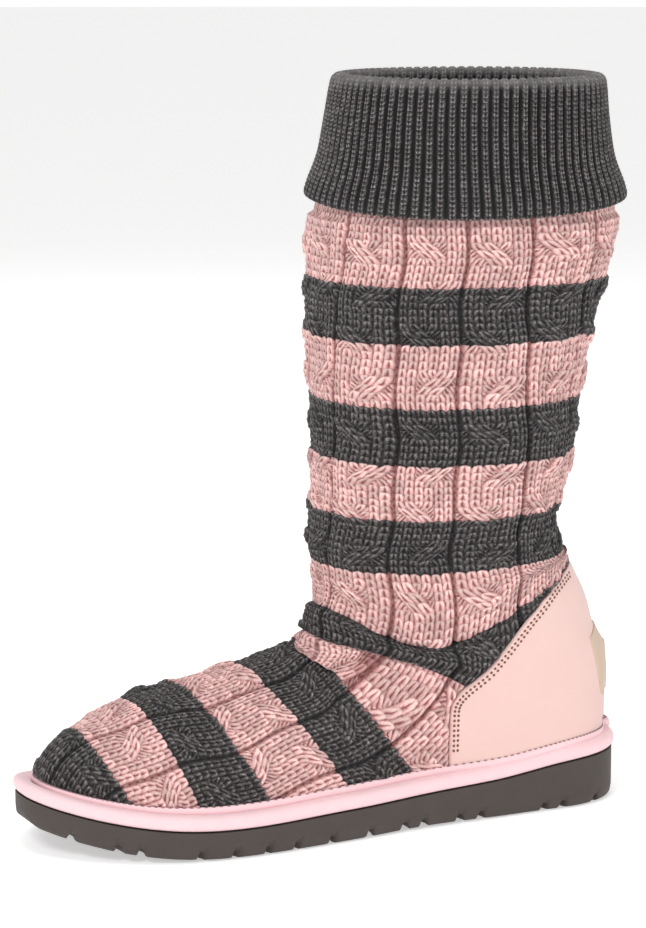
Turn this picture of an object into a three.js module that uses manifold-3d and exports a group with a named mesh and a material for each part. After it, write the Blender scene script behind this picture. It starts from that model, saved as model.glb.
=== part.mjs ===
// Cable-knit winter boot for the left foot, standing empty on its sole.
// Millimetres, +X towards the toe, +Y to the boot's left, +Z up.
// The origin lies on the floor, under the middle of the heel's bearing spot.
import * as THREE from 'three';
import { mergeVertices } from 'three/addons/utils/BufferGeometryUtils.js';
import Module from 'manifold-3d';

const wasm = await Module();
wasm.setup();

// Driving sizes of the sole
const soleLength = 272;
const ballWidth = 98;
const heelThickness = 22.5;
const ballThickness = 12.5;
const toeSpring = 12.5;
const archLift = 0.6;
const soleEdgeRound = 4;
const soleEdgeBreak = 1.2;
const treadDepth = 2.5;
const treadGrooveWidth = 2.4;
const treadWave = 2;
const treadWaves = 6;
const heelCentre = 27;

// Driving sizes of the welt and the insole
const weltWidth = 7;
const weltHeight = 7;
const weltOverhang = 0.8;
const weltRound = 2;
const insoleThickness = 4;

// Driving sizes of the knitted upper and its cuff. The hem hangs lowest at an angle from the shin.
const bootHeight = 318;
const shaftDepth = 134;
const shaftWidth = 127;
const instepHeight = 80;
const ankleBlend = 14;
const knitWall = 3;
const cuffThickness = 4;
const cuffDrop = 51;
const cuffSeamDrop = 43;
const cuffHemDip = 5.5;
const cuffHemLowest = 1.2;

// Driving sizes of the heel counter and the patch on it
const counterThickness = 1.5;
const counterHeight = 109;
const counterLength = 91;
const counterNotchHeight = 56;
const counterNotchRound = 4;
const patchThickness = 1.2;
const patchWidth = 48;
const patchHeight = 33;
const patchFoot = 45;

// Clearance between pieces that lie on each other, and how far a cutter runs past a cut
const clearance = 0.3;
const overrun = 2;

// Outline of the sole. along: share of the sole's length. width: share of the ball's width.
// bend: sideways shift of the centre line, share of the ball's width.
// rise: how far the thickness has grown from the ball's to the heel's.
const soleRows = [
  { along: 0.0, width: 0.663, bend: 0.0, rise: 1.0 },
  { along: 0.12, width: 0.673, bend: 0.0, rise: 0.85 },
  { along: 0.25, width: 0.704, bend: 0.005, rise: 0.44 },
  { along: 0.4, width: 0.755, bend: 0.015, rise: 0.19 },
  { along: 0.55, width: 0.878, bend: 0.015, rise: 0.1 },
  { along: 0.68, width: 0.99, bend: 0.0, rise: 0.0 },
  { along: 0.8, width: 1.0, bend: -0.02, rise: -0.03 },
  { along: 0.9, width: 0.939, bend: -0.041, rise: -0.08 },
  { along: 1.0, width: 0.816, bend: -0.056, rise: -0.2 },
];
const heelRound = { share: 0.13, power: 2.2 };
const toeRound = { share: 0.27, power: 2.3 };
const archSpan = { from: 0.22, to: 0.52 };
const toeBreak = 0.7;
const toeSpringPower = 2.3;

// Line of the instep. along: share of the foot's length. rise: share of the instep's height.
const ridgeRows = [
  { along: 0.0, rise: 0.5 },
  { along: 0.3, rise: 1.0 },
  { along: 0.45, rise: 0.9 },
  { along: 0.52, rise: 0.85 },
  { along: 0.6, rise: 0.769 },
  { along: 0.7, rise: 0.694 },
  { along: 0.8, rise: 0.625 },
  { along: 0.9, rise: 0.525 },
  { along: 1.0, rise: 0.45 },
];
const toeDrop = { share: 0.22, power: 2.4 };

// Level sections of the leg. height: share of the boot's height. centre: share of the sole's length.
// depth: share of the shaft's depth. width: share of the shaft's width.
const legRows = [
  { height: 0.0, centre: 0.206, depth: 0.731, width: 0.425 },
  { height: 0.063, centre: 0.2105, depth: 0.757, width: 0.441 },
  { height: 0.126, centre: 0.219, depth: 0.813, width: 0.488 },
  { height: 0.189, centre: 0.234, depth: 0.869, width: 0.543 },
  { height: 0.252, centre: 0.264, depth: 0.899, width: 0.63 },
  { height: 0.289, centre: 0.279, depth: 0.896, width: 0.693 },
  { height: 0.327, centre: 0.293, depth: 0.854, width: 0.732 },
  { height: 0.365, centre: 0.307, depth: 0.813, width: 0.764 },
  { height: 0.409, centre: 0.31, depth: 0.787, width: 0.78 },
  { height: 0.478, centre: 0.298, depth: 0.83, width: 0.819 },
  { height: 0.56, centre: 0.292, depth: 0.857, width: 0.858 },
  { height: 0.642, centre: 0.287, depth: 0.901, width: 0.906 },
  { height: 0.723, centre: 0.275, depth: 0.945, width: 0.953 },
  { height: 0.79, centre: 0.263, depth: 0.982, width: 0.985 },
  { height: 0.83, centre: 0.258, depth: 0.97, width: 0.975 },
  { height: 0.887, centre: 0.258, depth: 0.89, width: 0.92 },
  { height: 0.943, centre: 0.257, depth: 0.842, width: 0.885 },
  { height: 1.0, centre: 0.253, depth: 0.81, width: 0.85 },
];
const legSquareness = 2.15;
const footSquareness = { across: 2.3, up: 2.0 };

// Sections of the tube from the collar to the toe, a row for each colour change of the knit.
// front and base: where the section meets the shin or instep, and the heel or sole.
// Lengths are shares of the sole's length, heights are shares of the boot's height.
// bow: how far the section bends out of its plane, share of the instep's height.
const fanRows = [
  { stripe: -2.5, frontAlong: 0.456, frontHeight: 1.0, baseAlong: 0.051, baseHeight: 1.0, bow: 0 },
  { stripe: -1.0, frontAlong: 0.478, frontHeight: 0.89, baseAlong: 0.037, baseHeight: 0.89, bow: 0 },
  { stripe: 0.0, frontAlong: 0.504, frontHeight: 0.813, baseAlong: 0.018, baseHeight: 0.813, bow: 0 },
  { stripe: 1.0, frontAlong: 0.507, frontHeight: 0.734, baseAlong: 0.037, baseHeight: 0.734, bow: 0 },
  { stripe: 2.0, frontAlong: 0.507, frontHeight: 0.659, baseAlong: 0.059, baseHeight: 0.659, bow: 0 },
  { stripe: 3.0, frontAlong: 0.504, frontHeight: 0.574, baseAlong: 0.077, baseHeight: 0.574, bow: 0 },
  { stripe: 4.0, frontAlong: 0.502, frontHeight: 0.498, baseAlong: 0.092, baseHeight: 0.498, bow: 0 },
  { stripe: 5.0, frontAlong: 0.504, frontHeight: 0.425, baseAlong: 0.114, baseHeight: 0.425, bow: 0 },
  { stripe: 6.0, frontAlong: 0.507, frontHeight: 0.352, baseAlong: 0.1, baseHeight: 0.358, bow: 0 },
  { stripe: 7.0, frontAlong: 0.511, frontHeight: 0.296, baseAlong: 0.059, baseHeight: 0.324, bow: -0.06 },
  { stripe: 7.25, frontAlong: 0.515, frontHeight: 0.286, baseAlong: 0.033, baseHeight: 0.267, bow: 0 },
  { stripe: 7.5, frontAlong: 0.518, frontHeight: 0.278, baseAlong: 0.022, baseHeight: 0.189, bow: 0.06 },
  { stripe: 7.75, frontAlong: 0.522, frontHeight: 0.27, baseAlong: 0.026, baseHeight: 0.094, bow: 0.12 },
  { stripe: 8.0, frontAlong: 0.528, frontHeight: 0.264, baseAlong: 0.147, baseHeight: 0.055, bow: 0.18 },
  { stripe: 8.5, frontAlong: 0.54, frontHeight: 0.258, baseAlong: 0.276, baseHeight: 0.05, bow: 0.1 },
  { stripe: 9.0, frontAlong: 0.551, frontHeight: 0.252, baseAlong: 0.371, baseHeight: 0.047, bow: 0 },
  { stripe: 10.0, frontAlong: 0.651, frontHeight: 0.233, baseAlong: 0.494, baseHeight: 0.044, bow: 0 },
  { stripe: 11.0, frontAlong: 0.746, frontHeight: 0.208, baseAlong: 0.636, baseHeight: 0.041, bow: 0 },
  { stripe: 12.0, frontAlong: 0.824, frontHeight: 0.189, baseAlong: 0.757, baseHeight: 0.04, bow: 0 },
  { stripe: 13.0, frontAlong: 0.912, frontHeight: 0.157, baseAlong: 0.849, baseHeight: 0.044, bow: 0 },
  { stripe: 13.6, frontAlong: 0.956, frontHeight: 0.12, baseAlong: 0.919, baseHeight: 0.054, bow: 0 },
  { stripe: 14.0, frontAlong: 0.9743, frontHeight: 0.08, baseAlong: 0.9742, baseHeight: 0.06, bow: 0 },
];
const lastFootStripe = 13.96;

// Middle of a section: how far along from its base, and how far it follows the sole's bend
const sectionMiddle = { along: 0.45, bend: 0.7 };

// How finely the solids are faceted
const outlineSteps = 34;
const legSteps = 13;
const heelSteps = 8;
const footSteps = 15;
const sideColumns = 13;
const baseColumns = 5;
const cuffColumns = 48;
const counterFootSteps = 8;
const hitSteps = 30;
const footingSteps = 16;
const stripeStep = 0.002;
const toeStripe = 13.8;
const endCrowding = 0.86;

// Grooves of the tread, where each starts at the sole's side, share of the sole's length
const treadGrooves = [
  0.065, 0.13, 0.164, 0.279, 0.317, 0.381, 0.415, 0.478, 0.549, 0.614, 0.665, 0.719, 0.772, 0.855, 0.889, 0.942,
];

const clamp = THREE.MathUtils.clamp;

// A smooth curve through one column of a table
function readTable(rows, key, column, at) {
  const last = rows.length - 1;
  const x = clamp(at, rows[0][key], rows[last][key]);
  let i = 0;
  while (i < last - 1 && rows[i + 1][key] < x) i += 1;
  const slope = (a, b) => (rows[b][column] - rows[a][column]) / (rows[b][key] - rows[a][key]);
  const startSlope = slope(Math.max(i - 1, 0), i + 1);
  const endSlope = slope(i, Math.min(i + 2, last));
  const span = rows[i + 1][key] - rows[i][key];
  const t = (x - rows[i][key]) / span;
  const t2 = t * t;
  const t3 = t2 * t;
  return (2 * t3 - 3 * t2 + 1) * rows[i][column]
    + (t3 - 2 * t2 + t) * span * startSlope
    + (3 * t2 - 2 * t3) * rows[i + 1][column]
    + (t3 - t2) * span * endSlope;
}

// A superellipse that falls from 1 to 0 over the last share of a length
function roundedEnd(share, end) {
  const t = clamp(share / end.share, 0, 1);
  return (1 - t ** end.power) ** (1 / end.power);
}

// Half width of the sole's outline moved inwards, at a share of its length
function outlineHalf(share, inset) {
  const width = readTable(soleRows, 'along', 'width', share) * ballWidth / 2 - inset;
  return width * roundedEnd(share - (1 - toeRound.share), toeRound) * roundedEnd(heelRound.share - share, heelRound);
}

function soleHalf(x, inset) {
  return outlineHalf(clamp((x - inset) / (soleLength - 2 * inset), 0, 1), inset);
}

function soleMiddle(x) {
  return readTable(soleRows, 'along', 'bend', x / soleLength) * ballWidth;
}

// Height of the sole's underside: flat at heel and ball, lifted at the arch and the toe
function soleUnderside(x) {
  const share = clamp(x / soleLength, 0, 1);
  const arch = clamp((share - archSpan.from) / (archSpan.to - archSpan.from), 0, 1);
  const toe = clamp((share - toeBreak) / (1 - toeBreak), 0, 1);
  return archLift * Math.sin(Math.PI * arch) ** 2 + toeSpring * toe ** toeSpringPower;
}

function soleTop(x) {
  const rise = readTable(soleRows, 'along', 'rise', x / soleLength);
  return soleUnderside(x) + ballThickness + rise * (heelThickness - ballThickness);
}

// Signed distance, roughly, to the leg: a superellipse at each height
function legField(x, y, z) {
  const share = clamp(z / bootHeight, 0, 1);
  const centre = readTable(legRows, 'height', 'centre', share) * soleLength;
  const depth = readTable(legRows, 'height', 'depth', share) * shaftDepth / 2;
  const width = readTable(legRows, 'height', 'width', share) * shaftWidth / 2;
  const along = Math.abs((x - centre) / depth) ** legSquareness;
  const across = Math.abs((y - soleMiddle(x) / 2) / width) ** legSquareness;
  return ((along + across) ** (1 / legSquareness) - 1) * Math.min(depth, width);
}

// Signed distance, roughly, to the foot: an arch over the footprint at each station
function footField(x, y, z) {
  const share = clamp((x - weltWidth) / (soleLength - 2 * weltWidth), 0, 1);
  const half = Math.max(soleHalf(x, weltWidth), 0.5);
  const rise = readTable(ridgeRows, 'along', 'rise', share) * instepHeight;
  const height = Math.max(rise * roundedEnd(share - (1 - toeDrop.share), toeDrop), 0.5);
  const up = Math.max(z - soleTop(x), 0) / height;
  const across = Math.abs(y - soleMiddle(x)) / half;
  const arch = Math.sqrt(across ** footSquareness.across + up ** footSquareness.up) - 1;
  const pastEnds = Math.max(weltWidth - x, x - (soleLength - weltWidth));
  return Math.max(arch * Math.min(half, height), pastEnds);
}

// Leg and foot grown together with a soft bend at the ankle
function upperField(x, y, z) {
  const leg = legField(x, y, z);
  const foot = footField(x, y, z);
  const t = clamp(0.5 + 0.5 * (foot - leg) / ankleBlend, 0, 1);
  return foot * (1 - t) + leg * t - ankleBlend * t * (1 - t);
}

// One section of the tube: its plane, its middle and how far it bows
function fanSection(stripe) {
  const read = (column) => readTable(fanRows, 'stripe', column, stripe);
  const front = new THREE.Vector3(read('frontAlong') * soleLength, 0, read('frontHeight') * bootHeight);
  const base = new THREE.Vector3(read('baseAlong') * soleLength, 0, read('baseHeight') * bootHeight);
  const forward = front.clone().sub(base);
  const length = forward.length();
  forward.normalize();
  const middle = base.clone().lerp(front, sectionMiddle.along);
  middle.y = soleMiddle(middle.x) * sectionMiddle.bend;
  const normal = new THREE.Vector3(-forward.z, 0, forward.x);
  return { base, forward, length, middle, normal, bow: read('bow') * instepHeight };
}

// Point of a section at a distance from its middle, at an angle from the shin or instep
function sectionPoint(section, angle, distance) {
  const point = section.middle.clone();
  point.addScaledVector(section.forward, Math.cos(angle) * distance);
  point.y += Math.sin(angle) * distance;
  const share = clamp(point.clone().sub(section.base).dot(section.forward) / section.length, 0, 1);
  return point.addScaledVector(section.normal, section.bow * 4 * share * (1 - share));
}

// Where a ray of a section leaves the form grown by offset, cut off at the sole
function surfacePoint(section, angle, offset, footing) {
  let near = 0;
  let far = 200;
  for (let i = 0; i < hitSteps; i += 1) {
    const middle = (near + far) / 2;
    const p = sectionPoint(section, angle, middle);
    const outside = Math.max(upperField(p.x, p.y, p.z) - offset, soleTop(p.x) + footing - p.z) > 0;
    if (outside) far = middle;
    else near = middle;
  }
  return sectionPoint(section, angle, near);
}

// The angle at which a section comes down on the sole, to one side
function footingAngle(section, side, offset, footing) {
  let above = 0.5;
  let below = Math.PI * sideColumns / (sideColumns + baseColumns / 2);
  for (let i = 0; i < footingSteps; i += 1) {
    const angle = (above + below) / 2;
    const p = surfacePoint(section, side * angle, offset, footing);
    if (p.z > soleTop(p.x) + footing + 0.02) above = angle;
    else below = angle;
  }
  return above;
}

// Stripe numbers of the sections, from the collar's height down and out to the toe
function stripeSteps(topHeight) {
  let top = fanRows[0].stripe;
  while (readTable(fanRows, 'stripe', 'frontHeight', top) * bootHeight > topHeight) top += stripeStep;
  const spread = (from, to, steps) => Array.from({ length: steps }, (_, i) => from + (to - from) * i / steps);
  const ankle = 7;
  const instep = 8.5;
  return [
    ...spread(top, ankle, legSteps),
    ...spread(ankle, instep, heelSteps),
    ...spread(instep, lastFootStripe, footSteps),
    toeStripe,
    lastFootStripe,
  ].sort((a, b) => a - b);
}

// Closed body through rings of equally many points, each end closed around its middle
function loftRings(rings) {
  const columns = rings[0].length;
  const positions = [];
  const quad = (a, b, c, d) => positions.push(...a, ...b, ...c, ...a, ...c, ...d);
  rings.slice(1).forEach((ring, i) => {
    for (let j = 0; j < columns; j += 1) {
      const next = (j + 1) % columns;
      quad(rings[i][j], ring[j], ring[next], rings[i][next]);
    }
  });
  const closeEnd = (ring, flipped) => {
    const middle = [0, 1, 2].map((axis) => ring.reduce((sum, p) => sum + p[axis], 0) / columns);
    for (let j = 0; j < columns; j += 1) {
      const next = (j + 1) % columns;
      if (flipped) positions.push(...middle, ...ring[next], ...ring[j]);
      else positions.push(...middle, ...ring[j], ...ring[next]);
    }
  };
  closeEnd(rings[0], false);
  closeEnd(rings[rings.length - 1], true);
  return solidFrom(positions);
}

// Ring-shaped body: closed profiles of equally many points, one after the other round a loop
function loftLoop(profiles) {
  const positions = [];
  profiles.forEach((profile, i) => {
    const following = profiles[(i + 1) % profiles.length];
    profile.forEach((point, j) => {
      const next = (j + 1) % profile.length;
      positions.push(...point, ...profile[next], ...following[next]);
      positions.push(...point, ...following[next], ...following[j]);
    });
  });
  return solidFrom(positions);
}

// A solid from loose triangles, with shared corners merged and slivers left out
function solidFrom(positions) {
  const loose = new THREE.BufferGeometry();
  loose.setAttribute('position', new THREE.Float32BufferAttribute(positions, 3));
  return solidFromGeometry(loose);
}

function solidFromGeometry(geometry) {
  const plain = geometry.clone();
  plain.deleteAttribute('normal');
  plain.deleteAttribute('uv');
  const merged = mergeVertices(plain, 1e-4);
  const corners = merged.getIndex().array;
  const kept = [];
  for (let i = 0; i < corners.length; i += 3) {
    const [a, b, c] = [corners[i], corners[i + 1], corners[i + 2]];
    if (a !== b && b !== c && c !== a) kept.push(a, b, c);
  }
  const mesh = new wasm.Mesh({
    numProp: 3,
    vertProperties: new Float32Array(merged.getAttribute('position').array),
    triVerts: new Uint32Array(kept),
  });
  return new wasm.Manifold(mesh);
}

// The boot's form grown by offset, from the sole up to a height
function bootForm(offset, footing, topHeight) {
  const rings = stripeSteps(topHeight).map((stripe) => {
    const section = fanSection(stripe);
    const left = footingAngle(section, 1, offset, footing);
    const right = footingAngle(section, -1, offset, footing);
    const angles = [];
    for (let j = 0; j <= 2 * sideColumns; j += 1) {
      const share = j / sideColumns - 1;
      angles.push(share < 0 ? share * right : share * left);
    }
    const behind = 2 * Math.PI - left - right;
    for (let j = 1; j < baseColumns; j += 1) angles.push(left + behind * j / baseColumns);
    return angles.map((angle) => surfacePoint(section, angle, offset, footing).toArray());
  });
  return loftRings(rings);
}

// A prism along one axis from an outline given in the other two
function prism(outline, thickness, place) {
  const shape = new THREE.Shape(outline.map(([u, v]) => new THREE.Vector2(u, v)));
  const geometry = new THREE.ExtrudeGeometry(shape, { depth: thickness, bevelEnabled: false, curveSegments: 8 });
  geometry.applyMatrix4(place);
  return solidFromGeometry(geometry);
}

// Shares of the sole's length, closer together where the outline turns
function outlineShares() {
  return Array.from({ length: outlineSteps + 1 }, (_, i) => {
    const t = i / outlineSteps;
    return t - endCrowding * Math.sin(2 * Math.PI * t) / (2 * Math.PI);
  });
}

// One turn round the sole's outline, moved inwards, at a height given by the station
function outlineRing(inset, heightAt) {
  const point = (share, side) => {
    const x = inset + share * (soleLength - 2 * inset);
    return [x, soleMiddle(x) + side * outlineHalf(share, inset), heightAt(x)];
  };
  const shares = outlineShares();
  const left = shares.map((share) => point(share, 1));
  const right = shares.slice(1, -1).reverse().map((share) => point(share, -1));
  return [...left, ...right];
}

// Flat-sided body between rings round the outline, its top and underside made of strips
function loftOutline(rings) {
  const columns = rings[0].length;
  const positions = [];
  rings.slice(1).forEach((ring, i) => {
    for (let j = 0; j < columns; j += 1) {
      const next = (j + 1) % columns;
      positions.push(...rings[i][j], ...ring[next], ...rings[i][next]);
      positions.push(...rings[i][j], ...ring[j], ...ring[next]);
    }
  });
  const strip = (ring, upwards) => {
    for (let j = 0; j < columns / 2; j += 1) {
      const quad = [ring[j], ring[(columns - j) % columns], ring[columns - j - 1], ring[j + 1]];
      const order = upwards ? [0, 1, 2, 0, 2, 3] : [2, 1, 0, 3, 2, 0];
      order.forEach((k) => positions.push(...quad[k]));
    }
  };
  strip(rings[0], false);
  strip(rings[rings.length - 1], true);
  return solidFrom(positions);
}

function outsoleSolid() {
  const body = loftOutline([
    outlineRing(soleEdgeRound, soleUnderside),
    outlineRing(soleEdgeBreak, (x) => soleUnderside(x) + soleEdgeBreak),
    outlineRing(0, (x) => soleUnderside(x) + soleEdgeRound),
    outlineRing(0, soleTop),
  ]);
  return treadGrooves.reduce((sole, share) => {
    const x = share * soleLength;
    const reach = ballWidth / 2 + overrun * 5;
    const edge = (side) => Array.from({ length: treadWaves + 1 }, (_, i) => {
      const y = -reach + 2 * reach * i / treadWaves;
      const swing = treadWave * (i % 2 === 0 ? 0 : 1);
      return [x + swing + side * treadGrooveWidth / 2, y];
    });
    const outline = [...edge(-1), ...edge(1).reverse()];
    const roof = soleUnderside(x) + treadDepth;
    const place = new THREE.Matrix4().makeTranslation(0, 0, roof - toeSpring - treadDepth);
    return sole.subtract(prism(outline, toeSpring + treadDepth, place));
  }, body);
}

// Soft band round the outline that covers the joint of upper and sole
function weltSolid(upperOuter) {
  const level = (height) => (x) => soleTop(x) + height;
  const rings = [
    outlineRing(-weltOverhang + weltRound, level(clearance)),
    outlineRing(-weltOverhang, level(weltRound)),
    outlineRing(-weltOverhang, level(weltHeight - weltRound)),
    outlineRing(-weltOverhang + weltRound, level(weltHeight)),
    outlineRing(weltWidth + overrun, level(weltHeight)),
    outlineRing(weltWidth + overrun, level(clearance)),
  ];
  const profiles = rings[0].map((_, j) => rings.map((ring) => ring[j]));
  return loftLoop(profiles).subtract(upperOuter);
}

// Inner sole, cut to the inside of the upper
function insoleSolid(upperHollow) {
  return loftOutline([
    outlineRing(weltWidth, (x) => soleTop(x) + clearance),
    outlineRing(weltWidth, (x) => soleTop(x) + clearance + insoleThickness),
  ]).intersect(upperHollow);
}

// Point on the leg at a height, seen from the leg's middle at an angle from the shin
function legPoint(angle, height, offset) {
  const along = readTable(legRows, 'height', 'centre', clamp(height / bootHeight, 0, 1)) * soleLength;
  const direction = [Math.cos(angle), Math.sin(angle)];
  let near = 0;
  let far = 200;
  for (let i = 0; i < hitSteps; i += 1) {
    const middle = (near + far) / 2;
    const outside = legField(along + direction[0] * middle, direction[1] * middle, height) > offset;
    if (outside) far = middle;
    else near = middle;
  }
  return [along + direction[0] * near, direction[1] * near, height];
}

// Ribbed cuff: sewn to the shaft's top edge, folded at the rim and turned down outside
function cuffSolid(shaftCleared) {
  const seam = bootHeight - cuffSeamDrop;
  const roll = (knitWall + cuffThickness) / 2;
  const bulge = (cuffThickness - knitWall) / 2;
  const profiles = Array.from({ length: cuffColumns }, (_, i) => {
    const angle = -2 * Math.PI * i / cuffColumns;
    const hem = bootHeight - cuffDrop - cuffHemDip * Math.max(Math.cos(angle - cuffHemLowest), 0);
    const rim = [0, 0.25, 0.5, 0.75, 1].map((turn) => {
      const lean = Math.PI * turn;
      return legPoint(angle, bootHeight - roll + roll * Math.sin(lean), bulge + roll * Math.cos(lean));
    });
    const outer = [0, 0.3, 0.5, 0.75].map((share) => {
      return legPoint(angle, hem + (bootHeight - roll - hem) * share, cuffThickness);
    });
    return [
      ...outer,
      ...rim,
      legPoint(angle, (bootHeight - roll + seam) / 2, -knitWall),
      legPoint(angle, seam, -knitWall),
      legPoint(angle, hem, -knitWall),
    ];
  });
  return loftLoop(profiles).subtract(shaftCleared);
}

// A prism through the boot from side to side, from an outline of stations and heights
function sidePrism(outline) {
  const place = new THREE.Matrix4().makeRotationX(Math.PI / 2).setPosition(0, ballWidth, 0);
  return prism(outline, 2 * ballWidth, place);
}

// A prism from the back of the heel, from an outline of sideways places and heights
function backPrism(outline) {
  const place = new THREE.Matrix4().makeBasis(
    new THREE.Vector3(0, 1, 0),
    new THREE.Vector3(0, 0, 1),
    new THREE.Vector3(1, 0, 0),
  ).setPosition(-shaftDepth / 2, 0, 0);
  return prism(outline, shaftDepth, place);
}

function counterOutline() {
  const back = -soleLength / 8;
  const slant = counterHeight - counterNotchHeight;
  const foot = Array.from({ length: counterFootSteps + 1 }, (_, i) => {
    const x = counterLength * i / counterFootSteps;
    return [x, soleTop(x) + weltHeight + 2 * clearance];
  });
  return [
    [back, foot[0][1]],
    ...foot,
    [counterLength, counterNotchHeight - counterNotchRound],
    [counterLength - counterNotchRound, counterNotchHeight + slant * 0.027],
    [counterLength * 0.83, counterNotchHeight + slant * 0.19],
    [counterLength * 0.65, counterNotchHeight + slant * 0.62],
    [counterLength * 0.52, counterNotchHeight + slant * 0.84],
    [counterLength * 0.42, counterNotchHeight + slant * 0.935],
    [counterLength * 0.2, counterHeight],
    [back, counterHeight],
  ];
}

function patchOutline() {
  const half = patchWidth / 2;
  const top = patchFoot + patchHeight;
  const side = [
    [half * 0.72, patchFoot],
    [half * 0.84, patchFoot + patchHeight * 0.06],
    [half, patchFoot + patchHeight * 0.86],
    [half * 0.5, top],
  ];
  const mirrored = side.map(([y, z]) => [-y, z]).reverse();
  return [...side, ...mirrored];
}

const materials = {
  outsole: { color: 0x8f7f78, roughness: 0.75 },
  welt: { color: 0xb98582, roughness: 0.9 },
  insole: { color: 0x8a7d76, roughness: 0.95 },
  upper: { color: 0xb4606c, roughness: 0.95 },
  cuff: { color: 0x4c4b50, roughness: 0.95 },
  heel_counter: { color: 0xc99585, roughness: 0.9 },
  heel_patch: { color: 0xc08a5a, roughness: 0.6 },
};

// Colours are kept with the names of the pieces, one material for each
function pieceMesh(name, solid) {
  const result = solid.getMesh();
  const geometry = new THREE.BufferGeometry();
  geometry.setAttribute('position', new THREE.Float32BufferAttribute(result.vertProperties, 3));
  geometry.setIndex(new THREE.Uint32BufferAttribute(result.triVerts, 1));
  geometry.translate(-heelCentre, 0, 0);
  geometry.computeVertexNormals();
  const mesh = new THREE.Mesh(geometry, new THREE.MeshStandardMaterial({ ...materials[name], metalness: 0 }));
  mesh.name = name;
  return mesh;
}

const shaftTop = bootHeight - cuffSeamDrop;
const formTop = shaftTop + overrun;
const upperOuter = bootForm(0, clearance, shaftTop);
const upperInner = bootForm(-knitWall, -overrun, formTop);
const insoleHollow = bootForm(-knitWall - clearance, -overrun, formTop);
const shaftCleared = bootForm(clearance, -overrun, shaftTop + clearance);
const upperCleared = bootForm(clearance, -overrun, formTop);
const counterOuter = bootForm(clearance + counterThickness, -overrun, formTop);
const counterCleared = bootForm(2 * clearance + counterThickness, -overrun, formTop);
const patchOuter = bootForm(2 * clearance + counterThickness + patchThickness, -overrun, formTop);

const boot = new THREE.Group();
boot.add(
  pieceMesh('outsole', outsoleSolid()),
  pieceMesh('welt', weltSolid(upperCleared)),
  pieceMesh('insole', insoleSolid(insoleHollow)),
  pieceMesh('upper', upperOuter.subtract(upperInner)),
  pieceMesh('cuff', cuffSolid(shaftCleared)),
  pieceMesh('heel_counter', counterOuter.subtract(upperCleared).intersect(sidePrism(counterOutline()))),
  pieceMesh('heel_patch', patchOuter.subtract(counterCleared).intersect(backPrism(patchOutline()))),
);

export default boot;
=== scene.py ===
import math

import bmesh
import bpy
import numpy as np
from bpy.props import FloatProperty, FloatVectorProperty, IntProperty, PointerProperty
from mathutils import Matrix, Vector


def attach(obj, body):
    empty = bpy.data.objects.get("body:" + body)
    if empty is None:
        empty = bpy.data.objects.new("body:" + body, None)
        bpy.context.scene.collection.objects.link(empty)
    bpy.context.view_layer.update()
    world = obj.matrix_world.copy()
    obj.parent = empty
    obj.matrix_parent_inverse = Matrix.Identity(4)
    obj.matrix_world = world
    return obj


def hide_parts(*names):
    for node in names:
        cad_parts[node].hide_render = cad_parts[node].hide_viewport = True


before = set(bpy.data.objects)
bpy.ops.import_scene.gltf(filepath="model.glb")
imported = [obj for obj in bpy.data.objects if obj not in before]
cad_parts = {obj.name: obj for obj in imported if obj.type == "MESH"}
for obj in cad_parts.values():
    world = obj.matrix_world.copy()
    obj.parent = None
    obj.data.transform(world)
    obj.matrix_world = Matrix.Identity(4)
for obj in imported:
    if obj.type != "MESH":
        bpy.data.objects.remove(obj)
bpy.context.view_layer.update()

bl_info = {
    "name": "Cable-knit winter boot",
    "version": (1, 0, 0),
    "blender": (4, 5, 0),
    "location": "3D View > Sidebar > Boot",
    "description": "Dresses a plain boot with cable knit, ribbed cuff, suede and a foamed sole",
    "category": "Object",
}

# Sizes of the boot, as in its solids
SOLE_LENGTH = 0.272
BALL_WIDTH = 0.098
HEEL_THICKNESS = 0.0225
BALL_THICKNESS = 0.0125
TOE_SPRING = 0.0125
ARCH_LIFT = 0.0006
SOLE_EDGE_ROUND = 0.0052
TREAD_DEPTH = 0.0025
TREAD_GROOVE_WIDTH = 0.0024
TREAD_WAVE = 0.002
HEEL_CENTRE = 0.027
WELT_WIDTH = 0.007
WELT_HEIGHT = 0.007
WELT_OVERHANG = 0.0008
BOOT_HEIGHT = 0.318
SHAFT_DEPTH = 0.134
SHAFT_WIDTH = 0.127
INSTEP_HEIGHT = 0.080
ANKLE_BLEND = 0.014
KNIT_WALL = 0.003
CUFF_THICKNESS = 0.004
CUFF_DROP = 0.051
CUFF_SEAM_DROP = 0.043
CUFF_HEM_DIP = 0.0055
CUFF_HEM_LOWEST = 1.2
COUNTER_THICKNESS = 0.0015
COUNTER_HEIGHT = 0.109
COUNTER_LENGTH = 0.091
COUNTER_NOTCH_HEIGHT = 0.056
PATCH_THICKNESS = 0.0012
PATCH_WIDTH = 0.048
PATCH_HEIGHT = 0.033
PATCH_FOOT = 0.045
CLEARANCE = 0.0003


def table(columns, *rows):
    """A short table with named columns, as arrays."""
    return dict(zip(columns.split(), np.array(rows, float).T))


# Outline of the sole: shares of the sole's length and of the ball's width
SOLE = table(
    "along width bend rise",
    (0.0, 0.663, 0.0, 1.0),
    (0.12, 0.673, 0.0, 0.85),
    (0.25, 0.704, 0.005, 0.44),
    (0.4, 0.755, 0.015, 0.19),
    (0.55, 0.878, 0.015, 0.1),
    (0.68, 0.99, 0.0, 0.0),
    (0.8, 1.0, -0.02, -0.03),
    (0.9, 0.939, -0.041, -0.08),
    (1.0, 0.816, -0.056, -0.2),
)
HEEL_ROUND = (0.13, 2.2)
TOE_ROUND = (0.27, 2.3)
ARCH_SPAN = (0.22, 0.52)
TOE_BREAK = 0.7
TOE_SPRING_POWER = 2.3

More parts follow.
